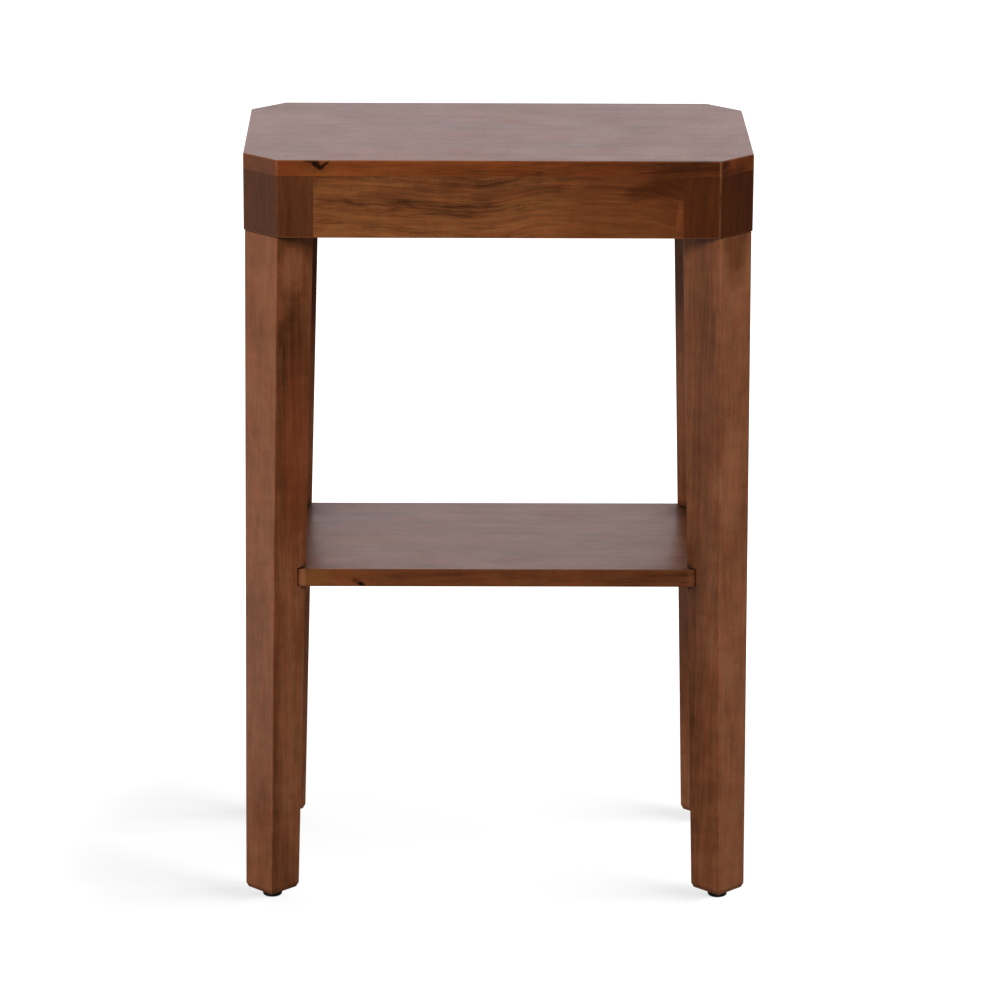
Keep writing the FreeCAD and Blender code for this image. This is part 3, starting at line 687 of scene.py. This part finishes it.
# %% Shelf board
SHELF_STAINS = (chart(126, 70, 35), chart(102, 54, 26), chart(56, 27, 11))
PALE_CORNER = chart(150, 98, 68)
CORNER_X = 0.1772
low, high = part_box("shelf_board")
on_shelf = marker(low.y, low.z, KNOT_DEPTH)
corner_marks = [on_shelf(x, 0.0083, 0.0042, 0.0160, 0.2, deep=0.004, y=low.y + 0.001)
                for x in (-CORNER_X, CORNER_X)]
finish_node(
    "shelf_board", (1, -0.01, 0), (0, 0, 1), (0, -0.03, low.z - 0.09), SHELF_STAINS, ring_width=0.008,
    waver=0.009, depth=0.9, curl=0.06, streaks=0.25, dusty=0.15, relief=0.00004,
    knots=[(0.55, on_shelf(-0.1270, 0.0050, 0.0090, 0.0032, 0.5, tilt=0.45)),
           (0.70, on_shelf(-0.1235, 0.0022, 0.0048, 0.0026, 0.4, tilt=0.30))],
    shades=[(-0.12, on_shelf(high.x - 0.04, 0.0, 0.120, 0.030, 0.3, deep=FACE_DEPTH)),
            (0.22, on_shelf(low.x + 0.06, 0.010, 0.060, 0.014, 0.3))],
    tints=[(0.55, PALE_CORNER, corner_marks[0]), (0.12, PALE_CORNER, corner_marks[1]),
           (0.45, chart(120, 76, 34), on_shelf(-0.164, 0.009, 0.016, 0.014))])

# %% [markdown]
# ## The rails
# The four rails run between the corner blocks. Each is a different board, so each gets its own place
# in the log. On the front one a band of broken dark streaks falls gently from the left, rises again
# past the middle and ends in a dark curly patch below the top. One light flame stands beside the
# right-hand seam.

# %% Rails
RAIL_STAINS = (chart(142, 86, 45), chart(111, 62, 30), chart(54, 26, 10))
low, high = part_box("front_rail")
FRAME_RIM = {**PLAN, "Lower": low.z}
on_rail = marker(low.y, 0.0, FACE_DEPTH)
finish_node(
    "front_rail", (1, 0, -0.045), (0, -1, 0), (0, low.y + 0.06, low.z + 0.005), RAIL_STAINS,
    ring_width=0.006, waver=0.007, depth=1.15, curl=0.08, streaks=0.40, outline=FRAME_RIM,
    veins=[(0.55, on_rail(-0.148, 0.6660, 0.030, 0.0100)),
           (0.60, on_rail(-0.110, 0.6640, 0.040, 0.0130, tilt=0.05)),
           (0.65, on_rail(-0.066, 0.6600, 0.045, 0.0110, tilt=0.04)),
           (0.65, on_rail(-0.022, 0.6590, 0.040, 0.0080, tilt=-0.05)),
           (0.50, on_rail(0.029, 0.6660, 0.048, 0.0110, tilt=-0.32)),
           (0.70, on_rail(0.127, 0.6760, 0.034, 0.0110, 0.7, tilt=-0.26)),
           (0.85, on_rail(-0.151, 0.6472, 0.020, 0.0050, tilt=0.05)),
           (0.85, on_rail(-0.116, 0.6426, 0.011, 0.0045, tilt=0.05))],
    shades=[(-0.16, on_rail(-0.070, 0.6640, 0.130, 0.0120, tilt=0.073)),
            (-0.22, on_rail(0.131, 0.6770, 0.030, 0.0100, 0.5, tilt=-0.26)),
            (-0.10, on_rail(0.154, 0.6850, 0.030, 0.0200, 0.6)),
            (-0.24, on_rail(0.175, 0.6600, 0.050, 0.0600, 0.2)),
            (0.12, on_rail(-0.120, 0.6800, 0.070, 0.0100)),
            (0.10, on_rail(0.010, 0.6420, 0.120, 0.0090))],
    bends=[(0.012, on_rail(0.085, 0.6600, 0.110, 0.20, 0.1))],
    tints=[(0.46, chart(88, 37, 8), on_rail(0.130, 0.6600, 0.110, 0.0800, 0.3)),
           (0.42, chart(66, 30, 9), on_rail(0.144, 0.6800, 0.036, 0.0130, 0.7, tilt=-0.20)),
           (0.30, chart(140, 74, 38), on_rail(0.1612, 0.6540, 0.0036, 0.0180, 0.5, tilt=0.10))])
for node, along, face, side in (("back_rail", (1, 0, 0.01), (0, 1, 0), 1),
                                ("left_rail", (0, 1, 0.01), (-1, 0, 0), -1),
                                ("right_rail", (0, 1, -0.01), (1, 0, 0), 1)):
    low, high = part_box(node)
    heart = (low + high) / 2 - Vector(face) * 0.06 + Vector((0.3 * side, 0.2, -0.02))
    finish_node(node, along, face, heart, RAIL_STAINS, ring_width=0.0075, waver=0.010, depth=1.1,
                streaks=0.5, outline=FRAME_RIM)

# %% [markdown]
# ## The corner blocks
# The blocks are short pieces with upright grain. They took the stain darker than the rails, and the
# right-hand ones darkest of all. Their open arrises are the two upright ones beside the clipped face
# and the lower outer one.

# %% Corner blocks
BLOCK_STAINS = {"left": (chart(104, 58, 31), chart(83, 43, 20), chart(58, 26, 10)),
                "right": (chart(92, 46, 18), chart(73, 33, 11), chart(50, 20, 5))}
BLOCK_CORNERS = {"left": 0.3, "right": 0.6}
CORNERS = ("front_left", "front_right", "back_left", "back_right")


def middle_and_outward(node):
    """A part's middle, and the level direction from the table's middle towards its corner."""
    low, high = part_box(node)
    outward = Vector((math.copysign(1, low.x + high.x), math.copysign(1, low.y + high.y), 0))
    return (low + high) / 2, outward


for number, corner in enumerate(CORNERS):
    middle, outward = middle_and_outward("corner_block_" + corner)
    side = corner.split("_")[1]
    finish_node("corner_block_" + corner, (0.02, 0.01, 1), outward,
                middle - outward * 0.05 + Vector((0, 0, 0.3 * number)), BLOCK_STAINS[side],
                ring_width=0.010, depth=0.8, curl=0.04, streaks=0.2, rubbed=0.36,
                outline={**FRAME_RIM, "Corners": BLOCK_CORNERS[side]})

# %% [markdown]
# ## The legs
# The grain runs up each leg. The faces that look outwards are painted lighter: partly paled by the
# window's light, partly painted light, as the inner faces get less of it. On the front left leg the
# grain swirls once near the top of the inner face and then runs dark beside the front arris. The back
# legs are lighter pieces, and a painted shadow of the frame darkens their tops.

# %% Legs
LEG_STAINS = {"left": (chart(147, 90, 59), chart(110, 61, 33), chart(54, 27, 11)),
              "right": (chart(153, 95, 63), chart(114, 65, 37), chart(60, 30, 13))}
FRONT_ARRIS_Y = -0.108
BACK_ARRIS_Y = 0.095
on_leg = marker(FRONT_ARRIS_Y, 0.0, 0.030)
LEG_LOOKS = {
    "front_left": {
        "fade_and_light": 0.34,
        "bends": [(0.008, on_leg(-0.190, 0.590, 0.014, 0.030, 0.2))],
        "shades": [(0.32, on_leg(-0.187, 0.602, 0.018, 0.032)),
                   (-0.15, on_leg(-0.188, 0.538, 0.020, 0.036)),
                   (-0.26, on_leg(-0.196, 0.505, 0.009, 0.075)),
                   (-0.16, on_leg(-0.196, 0.410, 0.008, 0.070)),
                   (0.12, on_leg(-0.184, 0.440, 0.016, 0.050)),
                   (0.18, on_leg(-0.186, 0.330, 0.020, 0.080)),
                   (0.30, on_leg(-0.188, 0.170, 0.022, 0.190)),
                   (-0.14, on_leg(-0.217, 0.624, 0.018, 0.030)),
                   (-0.12, on_leg(-0.217, 0.545, 0.018, 0.030)),
                   (-0.14, on_leg(-0.215, 0.280, 0.018, 0.070)),
                   (-0.16, on_leg(-0.213, 0.090, 0.018, 0.050))],
        "tints": [(0.35, chart(124, 52, 26), on_leg(-0.185, 0.440, 0.020, 0.110, 0.5))]},
    "front_right": {
        "fade_and_light": 0.27,
        "shades": [(-0.14, on_leg(0.190, 0.560, 0.009, 0.090, 0.6)),
                   (-0.10, on_leg(0.180, 0.320, 0.022, 0.045)),
                   (-0.12, on_leg(0.181, 0.180, 0.022, 0.190)),
                   (-0.40, on_leg(0.211, 0.632, 0.022, 0.060, 0.2)),
                   (0.26, on_leg(0.208, 0.400, 0.018, 0.080)),
                   (0.20, on_leg(0.208, 0.232, 0.018, 0.050)),
                   (-0.16, on_leg(0.206, 0.110, 0.018, 0.045))]},
    "back_left": {
        "fade_and_light": 0.06, "shift": 0.28,
        # painted shadow of the frame on the upper part of the back leg
        "shades": [(-0.45, on_leg(-0.180, 0.590, 0.030, 0.150, 0.2, y=BACK_ARRIS_Y))]},
    "back_right": {
        # painted shadow of the frame on the upper part of the back leg
        "fade_and_light": 0.04, "shift": 0.28,
        "shades": [(-0.27, on_leg(0.180, 0.590, 0.030, 0.150, 0.2, y=BACK_ARRIS_Y))]}}
# The wider shade reach on the legs paints shade under the corner blocks, at the tops of the legs.
for number, corner in enumerate(CORNERS):
    middle, outward = middle_and_outward("leg_" + corner)
    finish_node("leg_" + corner, (0.01, -0.008, 1), outward,
                middle - outward * 0.06 + Vector((0.01 * number, 0, 0.9 * number)),
                LEG_STAINS[corner.split("_")[1]], ring_width=0.007, depth=0.62, faded=outward,
                shade_reach=0.014, **LEG_LOOKS[corner])

# %% [markdown]
# ## Metal and plastic surfaces
# Bought fasteners carry two kinds of marks. Fine rings run around them where they turned against a
# die, and dull patches show where hands and damp reached them. Both are groups, because the zinc and
# the brass share the rings, and the plastic has the patches too.

# %% Groups: turned marks and dull patches
tree, given, result = new_group("turned_marks", {"Vector": ORIGIN, "Pitch": 0.00025}, ("Mask",))
height = place(tree, "SeparateXYZ", [given["Vector"]]).outputs["Z"]
passes = calc(tree, "DIVIDE", height, given["Pitch"])
wobble = noise(tree, given["Vector"], 900.0, 2.0, 0.5)
marks = noise(tree, calc(tree, "ADD", passes, wobble), 1.0, 2.0, 0.6, dimensions="1D")
feed(tree, result["Mask"], remap(tree, marks, 0.3, 0.7))

tree, given, result = new_group(
    "dull_patches", {"Vector": ORIGIN, "Size": 0.004, "Share": 0.5}, ("Mask", "Specks"))
per_patch = calc(tree, "DIVIDE", 1.0, given["Size"])
in_patches = vector_calc(tree, "SCALE", given["Vector"], None, None, per_patch)
start = calc(tree, "SUBTRACT", 0.75, times(tree, given["Share"], 0.4))
cloud = noise(tree, in_patches, 1.0, 4.0, 0.6)
feed(tree, result["Mask"], remap(tree, cloud, start, calc(tree, "ADD", start, 0.2)))
specks = noise(tree, given["Vector"], 3500.0, 2.0, 0.6)
feed(tree, result["Specks"], remap(tree, specks, 0.58, 0.72))

# %% [markdown]
# ## Plated steel, brass and moulded plastic
# Zinc plating is a bluish silver that turns chalky. Brass keeps its yellow under a brown bloom. Both
# are metals, so the colour is in the reflection, except in the dull patches: chalk and bloom scatter
# light like paint, and `Metallic` falls there. The glides are moulded from black plastic with a
# matt skin that floors have scuffed grey on the rim.


# %% Recipes for metal and plastic
GRIME_AND_SHADE = chart(58, 48, 38)


def plated_metal(name, clean, dull, roughness, dullness):
    material, tree, shader, spot = new_material(name)
    turned = use_group(tree, "turned_marks", {"Vector": spot})["Mask"]
    patches = use_group(tree, "dull_patches", {"Vector": spot, "Share": dullness})
    # Dirt and painted shade: the colour darkens where a neighbour stands within the distance.
    grime_and_shade = use_group(tree, "closed_corner", {"Distance": 0.0008})["Mask"]
    colour = blend(tree, times(tree, patches["Mask"], 0.8), clean, dull)
    rough = pull(tree, roughness, patches["Mask"], 0.0, 0.22)
    feed(tree, shader.inputs["Base Color"], blend(tree, times(tree, grime_and_shade, 0.55), colour, GRIME_AND_SHADE))
    feed(tree, shader.inputs["Roughness"], pull(tree, rough, turned, 0.5, 0.10))
    feed(tree, shader.inputs["Metallic"], pull(tree, 0.9, patches["Mask"], 0.0, -0.6))
    emboss(tree, shader, pull(tree, turned, patches["Specks"], 0.0, 0.6), 0.000012)
    return material


def moulded_plastic(name, skin, scuffed):
    material, tree, shader, spot = new_material(name)
    patches = use_group(tree, "dull_patches", {"Vector": spot, "Size": 0.006, "Share": 0.6})
    rubbed = use_group(tree, "rubbed_arris", {"Vector": spot, "Radius": 0.0009})["Mask"]
    scuffs = calc(tree, "MAXIMUM", times(tree, rubbed, 0.7), times(tree, patches["Mask"], 0.25))
    feed(tree, shader.inputs["Base Color"], blend(tree, scuffs, skin, scuffed))
    feed(tree, shader.inputs["Roughness"], pull(tree, 0.42, scuffs, 0.0, 0.30))
    grain = noise(tree, spot, 2600.0, 2.0, 0.5)
    emboss(tree, shader, pull(tree, grain, patches["Specks"], 0.0, 0.8), 0.00002)
    return material


BEECH_STAINS = (chart(226, 190, 142), chart(208, 168, 120), chart(158, 114, 74))
HARDWARE = {
    "zinc_steel": plated_metal(
        "zinc_plated_steel", (0.66, 0.68, 0.70, 1), (0.46, 0.45, 0.42, 1), 0.26, 0.45),
    "insert_brass": plated_metal("brass", (0.78, 0.57, 0.24, 1), (0.40, 0.26, 0.12, 1), 0.24, 0.40),
    "glide_plastic": moulded_plastic(
        "black_moulded_plastic", (0.012, 0.012, 0.013, 1), (0.09, 0.085, 0.08, 1)),
    "dowel_wood": stained_wood("bare_beech", (0, 0.02, 1), (1, 0, 0), (0.05, 0.3, 0), BEECH_STAINS,
                               ring_width=0.003, depth=0.8, curl=0.05, streaks=0.0, gloss=0.62, rubbed=0.1)}
print("hardware materials:", list(HARDWARE))

# %% [markdown]
# ## Fasteners out of rings
# The frame carries plain rods where the real table has threads. Every fastener is shaped about one
# axis, so each can be made as a stack of rings, joined by quads like the hoops of a barrel. A thread
# could be swept along a helix, but its ends are then hard to close. Here it is the same stack with a
# radius that depends on angle and height together: one turn of angle is worth one pitch of height.
# From here on, shapes are drawn in millimetres.


# %% Ring helpers
def ring(height, radius, sides):
    """One level ring of points. The radius is a number, or a function of angle and height."""
    points = []
    for number in range(sides):
        angle = 2 * math.pi * number / sides
        reach = radius(angle, height) if callable(radius) else radius
        points.append((reach * math.cos(angle), reach * math.sin(angle), height))
    return points


def levels(low, high, step):
    """Evenly spaced heights, both ends included."""
    return [float(one) for one in np.linspace(low, high, max(2, round((high - low) / step) + 1))]


def tower(radius, low, high, step, sides):
    """A stack of rings."""
    return [ring(height, radius, sides) for height in levels(low, high, step)]


def join_rings(rings, loop=False):
    """Bridge a stack of equal rings with quads. The ends are capped, or joined into a tube."""
    count = len(rings[0])
    points = [point for one in rings for point in one]
    faces = []
    for row in range(len(rings) if loop else len(rings) - 1):
        lower, upper = row * count, (row + 1) % len(rings) * count
        for side in range(count):
            after = (side + 1) % count
            faces.append((lower + side, lower + after, upper + after, upper + side))
    if not loop:
        faces.append(tuple(reversed(range(count))))
        faces.append(tuple(range(len(points) - count, len(points))))
    return points, faces


def lathe(profile, sides, loop=False):
    """Rings from a profile of (radius, height) steps."""
    return join_rings([ring(height, radius, sides) for radius, height in profile], loop)


def thread(outer, depth, pitch, start):
    """The radius of a thread. The start is the rod's own height, so that mating threads agree."""
    def radius(angle, height):
        turn = ((height + start) / pitch - angle / (2 * math.pi)) % 1.0
        slope = (abs(2 * turn - 1) - 0.12) / 0.70
        return outer - depth * min(max(slope, 0.0), 1.0)
    return radius


def hexagon(flat_radius):
    """The radius of a hexagon with a corner at angle 0."""
    return lambda angle, height: flat_radius / math.cos(angle % (math.pi / 3) - math.pi / 6)


def held(radius, line, choose=min):
    """Hold a radius under a line of (height, radius) points for a chamfer, or over it with max."""
    heights, limits = zip(*line)
    return lambda angle, height: choose(radius(angle, height), float(np.interp(height, heights, limits)))


print("a ring of 6:", [tuple(round(v, 2) for v in p) for p in ring(0.0, 1.0, 6)][:2], "...")

# %% [markdown]
# ## Finding the seats
# Like fasteners share one node, so the node's mesh is first split into its separate solids: points
# that an edge joins belong together. Most fasteners stand upright. For the slanted screws and for the
# dowels, the longest direction through a solid's points is the axis. The mean of the lowest points
# along the axis is where a solid starts. `fit` then makes a shape for each solid and joins them into
# the piece that stands for the node.

# %% Seats
UPRIGHT = (0.0, 0.0, 1.0)
MM = 0.001
SAME_LEVEL = 2e-5  # points this close along the axis lie in one plane, in metres
SHARP = math.radians(38)  # edges that bend more than this stay crisp


def solids_of(node):
    """The separate solids of a node, each as an array of its points."""
    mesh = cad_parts[node].data
    numbers = {}
    spots = [numbers.setdefault(tuple(round(value, 6) for value in one.co), len(numbers))
             for one in mesh.vertices]
    parents = list(range(len(numbers)))

    def root(number):
        while parents[number] != number:
            number = parents[number]
        return number

    for edge in mesh.edges:
        first, second = (root(spots[end]) for end in edge.vertices)
        parents[first] = second
    solids = {}
    for spot, number in numbers.items():
        solids.setdefault(root(number), []).append(spot)
    return [np.array(points) for points in solids.values()]


def seats(node, axis):
    """For each solid: the placing of its lower end, its length and its height, in millimetres."""
    found = []
    for points in solids_of(node):
        spread = np.linalg.svd(points - points.mean(0), full_matrices=False)[2][0]
        way = spread if axis is None else np.array(axis)
        way = -way if way @ (0.1, 0.2, 1.0) < 0 else way
        along = points @ way
        start = Vector(points[along < along.min() + SAME_LEVEL].mean(0))
        turn = Vector(way).to_track_quat("Z", "Y").to_matrix().to_4x4()
        placing = Matrix.Translation(start) @ turn @ Matrix.Scale(MM, 4)
        found.append((placing, float(along.max() - along.min()) / MM, start.z / MM))
    print(node, len(found), "seats, length", round(found[0][1], 1), "mm")
    return found


def fit(name, node, slot, shape, axis=UPRIGHT, body="table"):
    """One piece for a node: a shape on each of its seats. A shape takes a length and a height."""
    points, faces = [], []
    for placing, length, height in seats(node, axis):
        corners, sheets = shape(length, height)
        base = len(points)
        points += [placing @ Vector(corner) for corner in corners]
        faces += [[base + corner for corner in sheet] for sheet in sheets]
    mesh = bpy.data.meshes.new(name)
    mesh.from_pydata(points, [], faces)
    mesh.shade_smooth()
    mesh.set_sharp_from_angle(angle=SHARP)
    mesh.materials.append(HARDWARE[slot])
    piece = bpy.data.objects.new(name, mesh)
    bpy.context.scene.collection.objects.link(piece)
    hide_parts(node)
    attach(piece, body)
    print(name, len(points), "points")


# %% [markdown]
# ## Hanger bolts, washers and nuts
# A hanger bolt has a coarse wood thread with a point below and a fine machine thread above, with a
# short plain neck between them. The nut's bore could be cut out with the bolt, but the two surfaces
# would then lie in each other. It repeats the bolt's thread a hair wider instead.

# %% Leg bolts
WOOD_THREAD = (3.98, 1.15, 3.0)
BOLT_THREAD = (3.98, 0.76, 1.25)
BOLT_RADIUS = 4.0
BOLT_POINT = 8.0
WOOD_LENGTH = 42.0
NECK = 3.0
THREAD_GAP = 0.06
BOLT_SIDES = 32
WASHER_SIDES = 64
NUT_SIDES = 96
COARSE_STEP = 0.3  # height between two rings, here and in the next two lines
FINE_STEP = 0.156
CHAMFER_STEP = 0.08
WASHER = [(4.5, 0.0), (8.85, 0.0), (9.0, 0.15), (9.0, 1.2), (8.85, 1.45), (8.5, 1.6), (4.85, 1.6),
          (4.6, 1.5), (4.5, 1.3)]
NUT_FLAT_RADIUS = 6.5
NUT_CHAMFER = 0.62


def hanger_bolt(length, height):
    coarse = held(thread(*WOOD_THREAD, 0.0), [
        (0.0, 0.15), (BOLT_POINT, BOLT_RADIUS), (WOOD_LENGTH - 3, BOLT_RADIUS), (WOOD_LENGTH, 3.1)])
    fine = held(thread(*BOLT_THREAD, height), [
        (WOOD_LENGTH + NECK, 3.3), (WOOD_LENGTH + NECK + 1.5, BOLT_RADIUS), (length - 0.8, BOLT_RADIUS),
        (length, 3.2)])
    lower = tower(coarse, 0.0, WOOD_LENGTH, COARSE_STEP, BOLT_SIDES)
    return join_rings(lower + tower(fine, WOOD_LENGTH + NECK, length, FINE_STEP, BOLT_SIDES))


def bore_of(outer, depth, pitch, height):
    """An inner thread that leaves a small gap around its outer one."""
    return thread(outer + THREAD_GAP, depth, pitch, height)


def hex_nut(length, height):
    side = held(hexagon(NUT_FLAT_RADIUS), [
        (0.0, 6.25), (NUT_CHAMFER, 7.51), (length - NUT_CHAMFER, 7.51), (length, 6.25)])
    bore = held(bore_of(*BOLT_THREAD, height), [
        (0.0, 4.3), (0.5, 3.3), (length - 0.5, 3.3), (length, 4.3)], choose=max)
    rings = tower(side, 0.0, NUT_CHAMFER, CHAMFER_STEP, NUT_SIDES)
    rings += tower(side, length - NUT_CHAMFER, length, CHAMFER_STEP, NUT_SIDES)
    rings += reversed(tower(bore, 0.0, length, FINE_STEP, NUT_SIDES))
    return join_rings(rings, loop=True)


def washer(length, height):
    return lathe(WASHER, WASHER_SIDES, loop=True)


fit("hanger_bolts_threaded", "hanger_bolts", "zinc_steel", hanger_bolt)
fit("washers_stamped", "bolt_washers", "zinc_steel", washer)
fit("hex_nuts", "bolt_nuts", "zinc_steel", hex_nut)

# %% [markdown]
# ## Screws that hold the top
# They stand in slanted pockets inside the frame, with the head below and the point in the top. The
# cross recess is pressed into a low domed head. A Boolean cut leaves long thin faces there, so a fine
# net of points is pushed in where the two bars of the cross run.

# %% Top screws
SCREW_THREAD = (2.0, 0.7, 1.8)
SCREW_SIDES = 72
HEAD_RADIUS = 4.25
HEAD_HEIGHT = 2.2
DOME_DEPTH = 1.2
RECESS_REACH = 2.4
RECESS_DEPTH = 1.3
BAR_HALF = 0.55


def head_point(reach, angle):
    """A point of the domed head, sunk where the cross is."""
    x, y = reach * math.cos(angle), reach * math.sin(angle)
    bar = BAR_HALF - min(abs(x), abs(y))
    within = np.clip(bar / 0.15, 0, 1) * np.clip((RECESS_REACH - reach) / 0.5, 0, 1)
    return (x, y, DOME_DEPTH * (reach / HEAD_RADIUS) ** 2 + RECESS_DEPTH * float(within))


def pan_head_screw(length, height):
    turns = [2 * math.pi * number / SCREW_SIDES for number in range(SCREW_SIDES)]
    rings = [[head_point(reach, turn) for turn in turns] for reach in levels(0.05, HEAD_RADIUS, 0.14)]
    rings.append(ring(HEAD_HEIGHT, HEAD_RADIUS, SCREW_SIDES))
    cut = held(thread(*SCREW_THREAD, 0.0), [(HEAD_HEIGHT, 2.0), (length - 6, 2.0), (length, 0.1)])
    return join_rings(rings + tower(cut, HEAD_HEIGHT, length, 0.25, SCREW_SIDES))


fit("pan_head_screws", "top_screws", "zinc_steel", pan_head_screw, axis=None)

# %% [markdown]
# ## Inserts and glides
# A brass insert is screwed into the foot by its hexagon socket, and its flange stops it. The glide's
# steel stem runs in its inner thread. The pad below is turned from one profile: a dished underside, a
# rounded rim, a faint line where the two halves of the mould met, and the socket for the stem.

# %% Inserts, stems and pads
STEM_THREAD = (2.97, 0.60, 1.0)
INSERT_THREAD = (4.48, 0.75, 2.2)
SOCKET_LENGTH = 4.0
SOCKET_FLAT_RADIUS = 3.4
INSERT_SIDES = 60
PAD_SIDES = 96
FLANGE = [(4.2, 0.0), (6.2, 0.0), (6.5, 0.3), (6.5, 1.0), (6.3, 1.2), (3.9, 1.2)]
RIM = 2.2
PAD = [(0.1, 0.5), (4.6, 0.5), (5.4, 0.35), (6.0, 0.0), (6.8, 0.0)]
for turn in range(10, 91, 10):
    PAD.append((6.8 + RIM * math.sin(math.radians(turn)), RIM - RIM * math.cos(math.radians(turn))))
PAD += [(9.0, 3.3), (8.94, 3.36), (8.94, 7.35), (8.85, 7.6), (8.6, 7.7), (3.5, 7.7), (3.05, 7.4),
        (3.05, 3.7), (0.1, 3.7)]


def insert(length, height):
    outside = held(thread(*INSERT_THREAD, height), [
        (1.2, 3.7), (2.6, 4.5), (length - 1.2, 4.5), (length, 3.8)])
    rings = [ring(level, radius, INSERT_SIDES) for radius, level in FLANGE]
    rings += tower(outside, 1.3, length, 0.2, INSERT_SIDES)
    rings += reversed(tower(bore_of(*STEM_THREAD, height), SOCKET_LENGTH, length, 0.14, INSERT_SIDES))
    rings += reversed(tower(hexagon(SOCKET_FLAT_RADIUS), 0.0, SOCKET_LENGTH, 1.0, INSERT_SIDES))
    return join_rings(rings, loop=True)


def stem(length, height):
    cut = held(thread(*STEM_THREAD, height), [
        (0.0, 2.9), (SOCKET_LENGTH, 2.9), (SOCKET_LENGTH + 1, 3.0), (length - 0.7, 3.0), (length, 2.3)])
    return join_rings(tower(cut, 0.0, length, 0.125, BOLT_SIDES))


def pad(length, height):
    return lathe(PAD, PAD_SIDES)


fit("inserts_threaded", "foot_inserts", "insert_brass", insert)
for corner in CORNERS:
    body = "glide_" + corner
    fit("stem_threaded_" + corner, "glide_stem_" + corner, "zinc_steel", stem, body=body)
    fit("pad_moulded_" + corner, "glide_pad_" + corner, "glide_plastic", pad, body=body)

# %% [markdown]
# ## Dowels
# Beech dowels are rolled through a toothed die, which leaves straight flutes for the glue, and both
# ends are chamfered so that they find their holes. Flutes in a bump map would vanish in outline, so
# the rings themselves are fluted, with eight points to each flute.

# %% Fluted dowels
FLUTES = 18
FLUTE_DEPTH = 0.28
CHAMFER = 1.0


def dowel(radius):
    """The shape of a dowel of one radius."""
    def fluted(angle, height):
        return radius - FLUTE_DEPTH * max(0.0, math.cos(FLUTES * angle)) ** 2

    def shape(length, height):
        side = held(fluted, [(0.0, radius - CHAMFER), (CHAMFER, radius), (length - CHAMFER, radius),
                             (length, radius - CHAMFER)])
        heights = [0.0, CHAMFER / 2, CHAMFER, length - CHAMFER, length - CHAMFER / 2, length]
        return join_rings([ring(level, side, 8 * FLUTES) for level in heights])
    return shape


for node, radius in (("rail_dowels", 3.97), ("leg_dowels", 3.97), ("shelf_dowels", 2.97)):
    fit(node + "_fluted", node, "dowel_wood", dowel(radius), axis=None)
